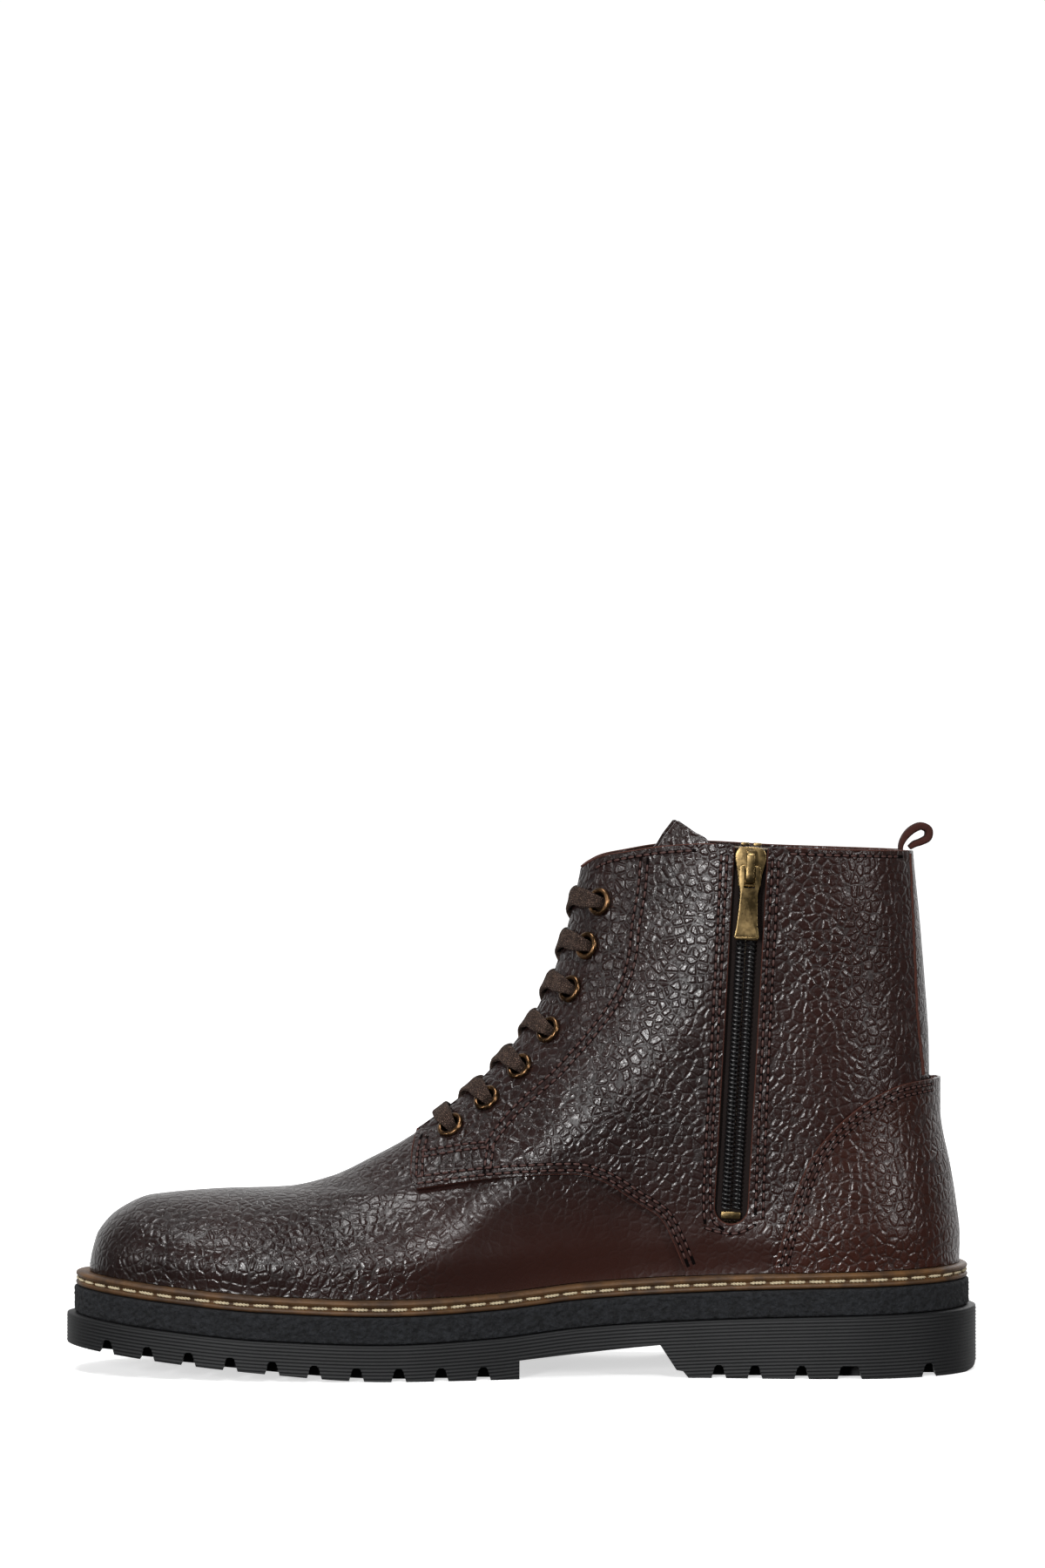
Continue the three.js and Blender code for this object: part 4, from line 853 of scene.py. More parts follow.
def resample(points, step):
    points = np.asarray(points, float)
    s = running_lengths(points)
    even = np.linspace(0, s[-1], max(2, int(s[-1] / step) + 1))
    return np.column_stack([np.interp(even, s, points[:, k]) for k in range(points.shape[1])])


def spline_through(points, step=0.4):
    """A smooth open curve through points; every column is carried along."""
    points = np.asarray(points, float)
    padded = np.vstack([2 * points[0] - points[1], points, 2 * points[-1] - points[-2]])
    out = []
    for i in range(1, len(padded) - 2):
        out.append(spline_run(padded[i - 1:i + 3], solid_size, 3, step))
    out.append(padded[-2:-1])
    return np.vstack(out)


def end_caps(rows, columns):
    """The faces that close the first and last ring of a grid."""
    return [np.arange(columns)[::-1], (rows - 1) * columns + np.arange(columns)]


def sweep(points, widths, ups, section):
    """Rings of a section set across (first number) and up (second) at each point; returns points and faces."""
    section = np.asarray(section, float)
    rings = points[:, None, :] + widths[:, None, :] * section[..., 0:1] + ups[:, None, :] * section[..., 1:2]
    rows, columns = rings.shape[:2]
    faces = grid_quads(rows, columns, 0, wrap_columns=True)
    return rings.reshape(-1, 3), faces, end_caps(rows, columns)


def gather(name, parts):
    """One object from many (points, quads, end faces) parts."""
    points, groups, start = [], {}, 0
    for part_points, quads, ends in parts:
        points.append(part_points)
        for faces in (np.asarray(quads, int), *[np.asarray(e, int)[None, :] for e in ends]):
            if len(faces):
                groups.setdefault(faces.shape[1], []).append(faces + start)
        start += len(part_points)
    return fast_object(name, np.vstack(points), [np.vstack(g) for g in groups.values()])


def capsule(start, end, radius, up, flat=1.0, sides=8, rings=7, bow=0.0):
    """A stitch: a rounded bar from start to end, flattened along up and bowed outwards."""
    start, end = np.asarray(start, float), np.asarray(end, float)
    direction = end - start
    length = np.linalg.norm(direction)
    direction /= length
    across = np.cross(up, direction)
    across /= np.linalg.norm(across)
    lift = np.cross(direction, across)
    t = (1 - np.cos(np.pi * np.arange(rings) / (rings - 1))) / 2
    size = radius * np.sqrt(np.maximum(0.06, 1 - (2 * t - 1) ** 4))
    centres = start + direction * (t * length)[:, None] + lift * (bow * np.sin(np.pi * t))[:, None]
    turn = full_turn(sides)
    ring = (across * np.cos(turn)[:, None])[None] + (lift * flat * np.sin(turn)[:, None])[None]
    points = centres[:, None, :] + ring * size[:, None, None]
    quads = grid_quads(rings, sides, 0, wrap_columns=True)
    return points.reshape(-1, 3), quads, end_caps(rings, sides)


def side_line(points, step=0.5):
    """A smooth open line in the side view through the points."""
    return spline_through(np.column_stack([points, np.zeros(len(points))]), step)[:, :2]


def shift_line(line, distance):
    """The line moved sideways in the side view, to its left for a positive distance."""
    tangent = np.gradient(line, axis=0)
    tangent /= np.maximum(np.linalg.norm(tangent, axis=1, keepdims=True), 1e-9)
    return line + np.column_stack([-tangent[:, 1], tangent[:, 0]]) * distance


def stitches_on_side(line, side, offset, pitch=3.0, length=2.35, radius=0.4):
    """Stitches along a side-view line, lying on the surface at an offset."""
    fine = resample(line, 0.25)
    points, out = side_point(fine[:, 0], fine[:, 1], side, offset + radius * 0.25)
    s = running_lengths(points)
    parts = []
    for centre in np.arange(pitch / 2, s[-1] - pitch / 2, pitch):
        jitter = rng.normal(0, 0.05, 2)
        ends = [np.array([np.interp(centre + d + jitter[0], s, points[:, k]) for k in range(3)])
                for d in (-length / 2, length / 2)]
        up = np.array([np.interp(centre, s, out[:, k]) for k in range(3)])
        parts.append(capsule(ends[0], ends[1], radius, up, flat=0.75, bow=0.12))
    return parts


# ------------------------------------------------------------------ seams
low_seam = side_line(QUARTER_FRONT[4:12] + [(54.4, 36)])
front_seam = side_line([(-37.3, 66.4), (-37, 74.5), (-35.6, 80)])
facing_seam = side_line([
    (-11.7, 76.4), (-7.8, 82.1), (-2.9, 87.9), (3.9, 94.3), (10.7, 100.3), (16.5, 106.6), (23.3, 114.5),
    (29.2, 122.3), (34, 131), (36.9, 140.7), (37.9, 150.5), (39.9, 162.1), (40.9, 173.5)])
box_top = side_line([(-34.2, 73.3), (-22.4, 75.6), (-10.7, 77.4)])
box_rear = side_line([(-10.7, 77.4), (-11.5, 72.7), (-12.1, 67.8)])
top_front_seam = side_line([(24.5, 169.5), (27.8, 171.4), (36, 173.4), (46, 175), (58, 176)])
top_rear_seam = side_line([(89, 174.8), (110, 174.1), (128, 173.6)])
counter_seam = side_line(COUNTER_EDGE[1:8] + [(84.6, 36.5)])


def beside_zip(stations):
    """A side-view line given by places across the zip and up it."""
    local = [(x, y, 0) for x, y in stations]
    return side_line(from_zip(local)[:, [0, 2]])


ZIP_SEAMS = [
    beside_zip([(-7.9, 118), (-7.6, 60), (-6.9, 0), (-5.6, -5), (-2, -7.6)]),
    beside_zip([(-9.8, 118), (-9.6, 60), (-9.2, 0), (-8.4, -6)]),
    beside_zip([(-8.6, -7.2), (-3, -8.6), (3, -8.4), (8.6, -5.2)]),
    beside_zip([(7.3, 117), (7.4, 60), (7.8, 20), (8.2, -2)]),
    beside_zip([(9.4, 117), (9.6, 60), (10.2, 20), (10.8, -3)]),
]


def seam_lines(side):
    """Every row of stitching on one side, down to the welt, with the offset of the skin that it lies on."""
    lines = []
    for line, insets, offset in (
        (low_seam, (1.3, 3.4), OUTER), (front_seam, (-1.6, -3.6), OUTER), (facing_seam, (-1.2, 1.2), OUTER),
        (box_top, (-0.9, 0.9), OUTER), (box_rear, (-0.8, 1.2), OUTER), (top_front_seam, (0,), OUTER),
        (top_rear_seam, (0,), OUTER), (counter_seam, (1.5, 3.6), OUTER + GAP + LEATHER),
    ):
        for inset in insets:
            lines.append((shift_line(line, inset), offset))
    if side < 0:
        lines += [(line, OUTER) for line in ZIP_SEAMS]
    return [(line[line[:, 1] > welt_top(line[:, 0]) + 2.2], offset) for line, offset in lines]


# ------------------------------------------------------------------ eyelets
def eyelet_profile():
    """Half section of a rolled eyelet: radius and height."""
    seat = OUTER + 0.45
    roll = np.linspace(-0.35 * np.pi, np.pi, 16)
    middle_radius = (EYELET_BORE + EYELET_FLANGE) / 2 + 0.05
    half = (EYELET_FLANGE - EYELET_BORE) / 2
    dome = np.column_stack([middle_radius + half * np.cos(roll), seat + 0.35 + 0.85 * np.sin(roll)])
    return np.vstack([[(EYELET_BORE + 0.5, -2.3), (EYELET_BORE + 0.5, seat - 0.6)], dome, [(EYELET_BORE, -2.3)]])


def make_eyelet(side, pair):
    profile = eyelet_profile()
    turn = full_turn(56)
    radius, height = profile[:, 0], profile[:, 1]
    points = np.stack([np.outer(np.cos(turn), radius), np.outer(np.sin(turn), radius),
                       np.broadcast_to(height, (len(turn), len(height)))], -1)
    position, basis = eyelet_frame(pair, side)
    points = points.reshape(-1, 3) @ basis.T + position
    faces = grid_quads(len(turn), len(radius), 0, True, True, flip=True)
    return fast_object(f"eyelet_{SIDES[side]}_{pair}_brass", points, [faces])


eyelets = [(side, pair, make_eyelet(side, pair)) for side in (-1, 1) for pair in range(1, EYELET_PAIRS + 1)]

# ------------------------------------------------------------------ lace
LACE_OVER, LACE_UNDER = OUTER + 1.2, -3.9
LACE_TAIL = (18, 30, 42, 54, 66)


def lace_half(side, crossing):
    points, s, edge = [], side, THROAT_HALF_GAP
    for pair in range(EYELET_PAIRS, 0, -1):
        here, eye = eyelet_length(pair), eyelet_from_centre(pair)
        points += [
            (here, s * (edge + 1.8), LACE_OVER + 0.3, 1, 0),
            (here, s * (eye - 6), LACE_OVER + 0.5, 1, 0),
            (here, s * (eye - 2.8), LACE_OVER + 0.9, 0.86, 0),
            (here, s * (eye - 0.2), OUTER + 0.7, 0.62, 0),
            (here, s * eye, -1.5, 0.5, 0)]
        if pair == 1:
            break
        points += [(here + 1, s * (eye - 2), LACE_UNDER - 0.3, 0.7, 0),
                   (here + 3.4, s * (edge + 3), LACE_UNDER, 0.8, 0),
                   (here + EYELET_PITCH / 2, 0, crossing, 0.8, 0),
                   (here + EYELET_PITCH - 3, -s * (edge - 3), 2.2, 0.85, 0)]
        s = -s
    top, channel = eyelet_length(1), eyelet_from_centre(1) + 4.5
    points += [
        (top - 1.5, s * (channel - 2.5), LACE_UNDER - 0.3, 0.7, 0),
        (top - 7, s * channel, LACE_UNDER, 0.8, 1)]
    return points + [(top - down, s * channel, LACE_UNDER, 1, 1) for down in LACE_TAIL]


lace_halves = [lace_half(-1, -1.9), lace_half(1, -4.1)]


def lace_piece():
    """The flat lace: a thin band swept through its places, with a slightly hollow, soft-edged section."""
    stations = lace_halves[0][::-1] + [(eyelet_length(EYELET_PAIRS), 0, LACE_OVER - 1.2, 1, 0)] + lace_halves[1]
    placed = [place(s, a, offset) for s, a, offset, _, _ in stations]
    control, last_across = [], None
    for (_, _, _, share, lengthwise), (position, out, direction) in zip(stations, placed):
        across = np.cross(out, direction) if lengthwise else direction
        if last_across is not None and across @ last_across < 0:
            across = -across
        last_across = across
        thick = LACE_THICKNESS / 2 * mix(1.25, 1, share)
        control.append([*position, *across, LACE_WIDTH / 2 * share, thick])
    fine = spline_through(control, 0.45)
    points, wanted = fine[:, :3], fine[:, 3:6]
    tangent = directions(points)
    widths = wanted - tangent * np.sum(wanted * tangent, axis=1, keepdims=True)
    widths /= np.maximum(np.linalg.norm(widths, axis=1, keepdims=True), 1e-6)
    ups = np.cross(tangent, widths)
    turn = full_turn(28)
    u = signed_power(np.cos(turn), 0.6)
    v = signed_power(np.sin(turn), 0.75) * (1 - 0.12 * np.cos(3 * np.arcsin(np.clip(u, -1, 1))))
    s = running_lengths(points)
    twill = np.sin(2 * np.pi * (s[:, None] / 1.5 + np.abs(u)[None, :] * 1.6))
    weave = 0.05 * twill * np.cos(6 * np.pi * u)[None, :]
    half_u = fine[:, 6][:, None] * u[None, :]
    half_v = fine[:, 7][:, None] * v[None, :] + weave * np.sign(v)[None, :]
    rings = points[:, None, :] + widths[:, None, :] * half_u[..., None] + ups[:, None, :] * half_v[..., None]
    rows, columns = rings.shape[:2]
    quads = grid_quads(rows, columns, 0, wrap_columns=True)
    return gather("lace_webbing", [(rings.reshape(-1, 3), quads, end_caps(rows, columns))])


lace = lace_piece()


def aglet(side):
    half = lace_halves[0] if side < 0 else lace_halves[1]
    s, a, offset = half[-1][:3]
    ends = [place(s - d, a, offset)[0] for d in (GAP, 16)]
    part = capsule(ends[0], ends[1], 1.2, np.array([0, 0, 1.0]), sides=16, rings=15)
    return gather(f"aglet_{SIDES[side]}_tip", [part])


aglets = {side: aglet(side) for side in (-1, 1)}


# ------------------------------------------------------------------ zip
def zip_object(name, parts):
    """Parts made in the zip's frame, as one object in the boot's frame."""
    return gather(name, [(from_zip(points), quads, ends) for points, quads, ends in parts])


def zip_coil(side):
    """A nylon coil: one monofilament wound round a core, each turn a tooth."""
    pitch, wire = 1.5, 0.5
    low, high = -0.6, ZIP_LENGTH - GAP - 0.5
    turns = (high - low) / pitch
    t = np.linspace(0, turns, int(turns * 20) + 1)
    angle = 2 * np.pi * t
    half_width_coil, half_height = COIL_WIDTH / 2 - wire + 0.1, COIL_THICKNESS / 2 - wire + 0.06
    centre_x = side * (COIL_INNER + COIL_WIDTH / 2 - 0.4)
    points = np.column_stack([
        centre_x + half_width_coil * np.cos(angle) * 1.12, low + pitch * t + 0.22 * side * np.sin(angle),
        (COIL_LOW + COIL_TOP) / 2 + half_height * np.sin(angle)])
    tangent = directions(points)
    widths = unit(np.cross(tangent, [0, 1.0, 0]))
    ups = np.cross(tangent, widths)
    turn = full_turn(8)
    winding = sweep(points, widths, ups, np.column_stack([wire * np.cos(turn), wire * np.sin(turn)]))
    core = capsule((centre_x, low, 0.3), (centre_x, high, 0.3), 0.55, np.array([0, 0, 1.0]), rings=5)
    return zip_object(f"zip_coil_{ZIP_SIDES[side]}_nylon", [winding, core])


def zip_tape(side):
    """Woven tape under the coil."""
    x = np.linspace(0.06, TAPE_HALF_WIDTH, 24) * side
    y = np.linspace(-4.5, ZIP_LENGTH - 1, 260)
    gx, gy = np.meshgrid(x, y)
    ribs = 0.05 * np.sin(gy * 2 * np.pi / 1.2) * np.cos(np.abs(gx) * 2 * np.pi / 1.4)
    top = np.stack([gx, gy, TAPE_TOP + ribs], -1)
    under = np.stack([gx, gy, np.full(gx.shape, TAPE_TOP - TAPE_THICKNESS)], -1)
    rows, columns = gx.shape
    quads = [
        grid_quads(rows, columns, 0, flip=side > 0),
        grid_quads(rows, columns, rows * columns, flip=side < 0)]
    rim_line = np.concatenate([np.arange(columns), np.arange(1, rows) * columns + columns - 1,
                               (rows - 1) * columns + np.arange(columns - 2, -1, -1),
                               np.arange(rows - 2, 0, -1) * columns])
    after = np.roll(rim_line, -1)
    offset = rows * columns
    wall = np.stack([rim_line, after, after + offset, rim_line + offset], -1)
    quads.append(wall if side > 0 else wall[:, ::-1])
    body = (np.vstack([top.reshape(-1, 3), under.reshape(-1, 3)]), np.vstack(quads), [])
    return zip_object(f"zip_tape_{ZIP_SIDES[side]}_woven", [body])


coils = {side: zip_coil(side) for side in (-1, 1)}
tapes = {side: zip_tape(side) for side in (-1, 1)}


def bevel(obj, width, segments=3, degrees=35):
    modifier = obj.modifiers.new("edge", "BEVEL")
    modifier.width = width * MM
    modifier.segments = segments
    modifier.limit_method = "ANGLE"
    modifier.angle_limit = math.radians(degrees)
    modifier.use_clamp_overlap = True
    modifier.harden_normals = False
    apply_modifiers(obj)


def bottom_stop():
    obj = box(-3.3, 3.3, -3.9, -1.4, COIL_LOW + 0.05, COIL_TOP - 0.05)
    obj.name = "zip_bottom_stop_metal"
    bevel(obj, 0.35)
    into_zip(obj)
    return obj


def top_stop(side):
    x0, x1 = sorted((side * COIL_INNER, side * (COIL_INNER + 2.7)))
    obj = box(x0, x1, ZIP_LENGTH, ZIP_LENGTH + 1.1, COIL_LOW + 0.2, COIL_TOP - 0.2)
    obj.name = f"zip_top_stop_{ZIP_SIDES[side]}_metal"
    bevel(obj, 0.25)
    into_zip(obj)
    return obj


def plate_outline():
    half, mid = SLIDER_HALF_WIDTH, SLIDER_LENGTH / 2
    right = [(half * 0.72, -mid), (half * 0.78, -mid * 0.45), (half * 0.9, mid * 0.02), (half, mid * 0.42),
             (half * 0.96, mid * 0.72), (half * 0.74, mid * 0.95), (half * 0.4, mid)]
    line = right + [(-x, y) for x, y in right[::-1]]
    return rounded(line, {0, len(line) - 1}, 0.4) + (0, PIN_Y)


def make_slider():
    """Two plates joined by a post, and a bridge that holds the pull."""
    underside = TAPE_TOP - TAPE_THICKNESS - GAP
    top = prism(plate_outline(), COIL_TOP + GAP, PLATE_TOP, "z")
    top.name = "zip_slider_metal"
    bevel(top, 0.3)
    low = prism(plate_outline() * (0.97, 1), underside - PLATE, underside, "z")
    bevel(low, 0.2)
    boolean(top, low, "UNION")
    boolean(top, box(-0.35, 0.35, PIN_Y + 1.5, SLIDER_TOP - 0.6, underside - 0.1, COIL_TOP + GAP + 0.1), "UNION")
    leg = [(-5.7, -0.2), (-5.7, 1.4), (-4.4, 2.8)]
    inner_leg = [(-3.6, 2.05), (-4.5, 1.2), (-4.6, -0.2)]
    over = leg + [(0, 2.9)] + [(-y, z) for y, z in leg[::-1]]
    under = [(-y, z) for y, z in inner_leg[::-1]] + [(0, 2.1)] + inner_leg
    arch = rounded([(PIN_Y + y, PLATE_TOP + z) for y, z in over + under], {0, 6, 7, 13}, 0.3)
    bridge = prism(arch, -1.4, 1.4, "z")
    points = np.array([v.co[:] for v in bridge.data.vertices])
    bridge.data.vertices.foreach_set("co", points[:, [2, 0, 1]].ravel())
    bridge.data.update()
    bevel(bridge, 0.25)
    boolean(top, bridge, "UNION")
    into_zip(top)
    return top


def make_pull():
    """The tab: a waisted plate with a slot at its head for the slider's bridge and a raised lip at its foot."""
    waist, end, length = PULL_HALF_WIDTH, PULL_HALF_WIDTH + 0.7, PULL_LENGTH
    right = [(waist - 0.5, 0.6), (waist, 0.1), (waist + 0.2, -length * 0.22), (waist - 0.35, -length * 0.34),
             (waist - 0.3, -length * 0.5), (waist + 0.2, -length * 0.8), (end, -length + 1.2),
             (end - 0.5, -length + 0.6)]
    line = rounded(right + [(-x, y) for x, y in right[::-1]], {0, 7, 8, 15}, 0.4)
    obj = prism(line, -PULL_THICKNESS / 2, PULL_THICKNESS / 2, "z")
    obj.name = "zip_pull_metal"
    bevel(obj, 0.28)
    window = prism(rounded([(-1.9, -0.6), (1.9, -0.6), (1.9, -7), (-1.9, -7)], {0, 1, 2, 3}), -2, 2, "z")
    boolean(obj, window, "DIFFERENCE")
    lip = box(-end + 0.45, end - 0.45, -length + 0.75, -length + 1.7, 0.1, PULL_THICKNESS / 2 + 0.28)
    bevel(lip, 0.2)
    boolean(obj, lip, "UNION")
    into_zip(obj, (0, PIN_Y, PIN_Z))
    return obj


zip_bottom = bottom_stop()
zip_tops = {side: top_stop(side) for side in (-1, 1)}
slider, pull = make_slider(), make_pull()

# ------------------------------------------------------------------ pull loop, a folded strip of leather
LOOP_HALF_WIDTH = 5.0


def make_pull_loop():
    """A strip folded into a loop: the leg goes down inside the back, the loop leans back over the top edge."""
    x = float(back_x(176)) - 3.5 + 0.7
    leg_x = (np.array([back_x(150.0), back_x(163.0)]) - 4.1).tolist()
    middle = spline_through([
        (leg_x[0], 0, 150.6, 0.55), (leg_x[1], 0, 163, 0.55), (x - 1.3, 0, 173.6, 0.6), (x - 1.4, 0, 177.2, 0.8),
        (x + 0.4, 0, 180.6, 1.2), (x + 2.9, 0, 182.8, 1.35), (x + 5.6, 0, 183.7, 1.35),
        (x + 7.9, 0, 182.4, 1.35),
        (x + 7.7, 0, 179.8, 1.3), (x + 5.4, 0, 178.4, 1.2), (x + 3.2, 0, 177.6, 1.1), (x + 1.5, 0, 176.4, 0.8)],
        0.3)
    middle, half = middle[:, :3], middle[:, 3]
    tangent = directions(middle)
    widths = np.tile([0, 1.0, 0], (len(middle), 1))
    ups = np.cross(tangent, widths) * half[:, None]
    turn = full_turn(32)
    u = signed_power(np.cos(turn), 0.25) * (LOOP_HALF_WIDTH - 0.1)
    v = signed_power(np.sin(turn), 0.6)
    return gather("pull_loop_leather", [sweep(middle, widths, ups, np.column_stack([u, v]))])


pull_loop = make_pull_loop()


# ------------------------------------------------------------------ cut edges of the leather
def edge_bead(line, side, offset, half_across=0.3, half_up=0.3, ragged=0.0):
    """A narrow band along a panel's cut edge, lying on the surface at an offset."""
    fine = resample(line, 0.5)
    points, out = side_point(fine[:, 0], fine[:, 1], side, offset)
    tangent = directions(points)
    widths = unit(np.cross(out, tangent))
    if ragged:
        s = np.arange(len(points)) * 0.5
        sway = np.sin(s * 0.9 + 2 * np.sin(s * 0.13)) + 0.6 * np.sin(s * 2.3 + 1)
        points = points + widths * (ragged * sway)[:, None]
    turn = full_turn(10)
    section = np.column_stack([half_across * np.cos(turn), half_up * np.sin(turn)])
    return sweep(points, widths, out, section)


slot_turn = np.linspace(np.pi, 2 * np.pi, 30)
slot_edge = from_zip(np.column_stack([
    np.concatenate([[-ZIP_SLOT_HALF], ZIP_SLOT_HALF * np.cos(slot_turn), [ZIP_SLOT_HALF]]),
    np.concatenate([[ZIP_LENGTH - 0.4], ZIP_SLOT_HALF * np.sin(slot_turn), [ZIP_LENGTH - 0.6]]),
    np.zeros(32)]))[:, [0, 2]]
rear_edge = side_line([(HEEL_X - 9.6, 100), (HEEL_X - 11.7, 118), (HEEL_X - 12.8, 140), (HEEL_X - 14.2, 174.6)])
THROAT_CORNER = (20.4, 169.9)
topline_front = side_line([(64.5, 177.9)] + TOPLINE[3:8] + [THROAT_CORNER])
topline_rear = side_line([(88, 176.6), (110, 176), (130, 175.4)])
topline_whole = side_line([(130, 175.4)] + TOPLINE[2:8] + [THROAT_CORNER])


def panel_edges(side):
    parts = [
        edge_bead(low_seam, side, OUTER * 0.55, 0.3, OUTER * 0.45),
        edge_bead(front_seam, side, OUTER * 0.55, 0.3, OUTER * 0.45),
        edge_bead(counter_seam, side, OUTER + 1.1, 0.3, 0.75),
        edge_bead(rear_edge, side, OUTER - 0.25, 1.0, 0.5, 0.16)]
    if side < 0:
        parts += [edge_bead(slot_edge, side, OUTER - 0.6, 0.35, 0.6),
                  edge_bead(topline_front, side, OUTER - 0.7, 0.35, 0.7),
                  edge_bead(topline_rear, side, OUTER - 0.7, 0.35, 0.7)]
    else:
        parts.append(edge_bead(topline_whole, side, OUTER - 0.7, 0.35, 0.7))
    return gather(f"cut_edges_{SIDES[side]}", parts)


edges_medial, edges_lateral = panel_edges(-1), panel_edges(1)


# ------------------------------------------------------------------ stitches and welt thread
def stitching(side):
    """The stitches of one side, and near-black strips along their rows: painted shade of the grooves that the
    stitches pull into the leather.
    """
    lines = seam_lines(side)
    stitches = [part for line, offset in lines for part in stitches_on_side(line, side, offset)]
    # painted shade: a near-black band along each row of stitching
    groove_shades = [edge_bead(line, side, offset, 0.55, 0.16) for line, offset in lines]
    return gather(f"stitching_{SIDES[side]}", stitches), gather(f"groove_shades_{SIDES[side]}", groove_shades)


stitch_medial, groove_shade_medial = stitching(-1)
stitch_lateral, groove_shade_lateral = stitching(1)


def welt_thread_piece():
    """Pale twisted thread lying in the welt's groove, one long stitch after another."""
    closed = np.vstack([rim, rim[:1]])
    total = float(lengths_along(closed)[-1])
    stitch_pitch, rings, sides = 6.4, 15, 8
    count = int(total / stitch_pitch)
    parts = []
    for i in range(count):
        centre = (i + 0.5) * total / count
        ends = []
        for d in (-2.55, 2.55):
            s = (centre + d) % total
            place_on = np.array([np.interp(s, rim_length, rim[:, k], period=total) for k in (0, 1)])
            out = np.array([np.interp(s, rim_length, rim_out[:, k], period=total) for k in (0, 1)])
            xy = place_on + out * (welt_reach(place_on[0]) - 0.62)
            ends.append(np.array([*xy, welt_top(xy[0]) - 2.6 + rng.normal(0, 0.06)]))
        up = np.array([*out, 0.0])
        direction = (ends[1] - ends[0]) / np.linalg.norm(ends[1] - ends[0])
        across = np.cross(up, direction)
        t = np.linspace(0, 1, rings)
        for strand in (0, np.pi):
            angle = strand + t * 2 * np.pi * 2.2
            swell = np.sqrt(np.maximum(0.1, 1 - (2 * t - 1) ** 4))
            core = ends[0] + direction * (t * np.linalg.norm(ends[1] - ends[0]))[:, None]
            core = core + up * (0.28 * np.sin(np.pi * t) - 0.1)[:, None]
            centre_line = core + 0.24 * (across * np.cos(angle)[:, None] + up * np.sin(angle)[:, None])
            turn = full_turn(sides)
            ring = across * np.cos(turn)[:, None] + up * np.sin(turn)[:, None]
            points = centre_line[:, None, :] + ring[None] * (0.3 * swell)[:, None, None]
            quads = grid_quads(rings, sides, 0, wrap_columns=True)
            parts.append((points.reshape(-1, 3), quads, end_caps(rings, sides)))
    return gather("welt_thread_twisted", parts)


welt_thread = welt_thread_piece()


# ------------------------------------------------------------------ materials
def rgb(r, g, b, level=1.0):
    """A linear colour from 8-bit screen values."""
    def linear(v):
        v = v / 255
        return v / 12.92 if v <= 0.04045 else ((v + 0.055) / 1.055) ** 2.4
    return (linear(r) * level, linear(g) * level, linear(b) * level, 1.0)


class Shader:
    """A short way to lay out shader nodes; every number goes straight on a socket."""

    def __init__(self, name):
        self.material = bpy.data.materials.new(name)
        self.material.use_nodes = True
        self.tree = self.material.node_tree
        self.base = self.tree.nodes["Principled BSDF"]
        self.coordinates = self.tree.nodes.new("ShaderNodeTexCoord").outputs["Object"]

    def put(self, socket, value):
        if isinstance(value, bpy.types.NodeSocket):
            self.tree.links.new(value, socket)
        else:
            socket.default_value = value

    def node(self, kind, inputs=(), **settings):
        made = self.tree.nodes.new(kind)
        for key, value in settings.items():
            setattr(made, key, value)
        for key, value in dict(inputs).items():
            self.put(made.inputs[key], value)
        return made

    def math(self, operation, a, b=0.0, c=0.0, clamp=False):
        made = self.node("ShaderNodeMath", {0: a, 1: b, 2: c}, operation=operation, use_clamp=clamp)
        return made.outputs[0]

    def noise(self, scale, detail=2.0, roughness=0.5, vector=None, color=False):
        made = self.node("ShaderNodeTexNoise", {
            "Vector": vector or self.coordinates, "Scale": scale, "Detail": detail, "Roughness": roughness})
        return made.outputs["Color" if color else "Fac"]

    def edges(self, scale, vector):
        made = self.node("ShaderNodeTexVoronoi", {"Vector": vector, "Scale": scale}, feature="DISTANCE_TO_EDGE")
        return made.outputs["Distance"]

    def ramp(self, value, low, high, start=0.0, end=1.0):
        made = self.node("ShaderNodeMapRange", {
            "Value": value, "From Min": low, "From Max": high, "To Min": start, "To Max": end},
            interpolation_type="SMOOTHSTEP")
        return made.outputs["Result"]

    def blend(self, share, a, b):
        made = self.node("ShaderNodeMix", {"Factor": share}, data_type="RGBA")
        colors = [i for i in made.inputs if i.type == "RGBA"]
        self.put(colors[0], a)
        self.put(colors[1], b)
        return [o for o in made.outputs if o.type == "RGBA"][0]

    def axes(self):
        made = self.node("ShaderNodeSeparateXYZ", {"Vector": self.coordinates})
        return made.outputs["X"], made.outputs["Y"], made.outputs["Z"]

    def bump(self, height, distance, strength=1.0, normal=None):
        inputs = {"Height": height, "Distance": distance, "Strength": strength}
        if normal is not None:
            inputs["Normal"] = normal
        return self.node("ShaderNodeBump", inputs).outputs["Normal"]

    def finish(self, **sockets):
        for key, value in sockets.items():
            self.put(self.base.inputs[key.replace("_", " ")], value)
        return self.material


def warped(shader, scale, amount):
    """Object coordinates pushed about by noise, so that cells lose their straight sides."""
    drift = shader.noise(scale, 3.0, 0.6, color=True)
    shift = shader.node("ShaderNodeVectorMath", {0: drift, 1: (0.5, 0.5, 0.5)}, operation="SUBTRACT")
    small = shader.node("ShaderNodeVectorMath", {0: shift.outputs[0], "Scale": amount}, operation="SCALE")
    moved = shader.node("ShaderNodeVectorMath", {0: shader.coordinates, 1: small.outputs[0]}, operation="ADD")
    return moved.outputs[0]


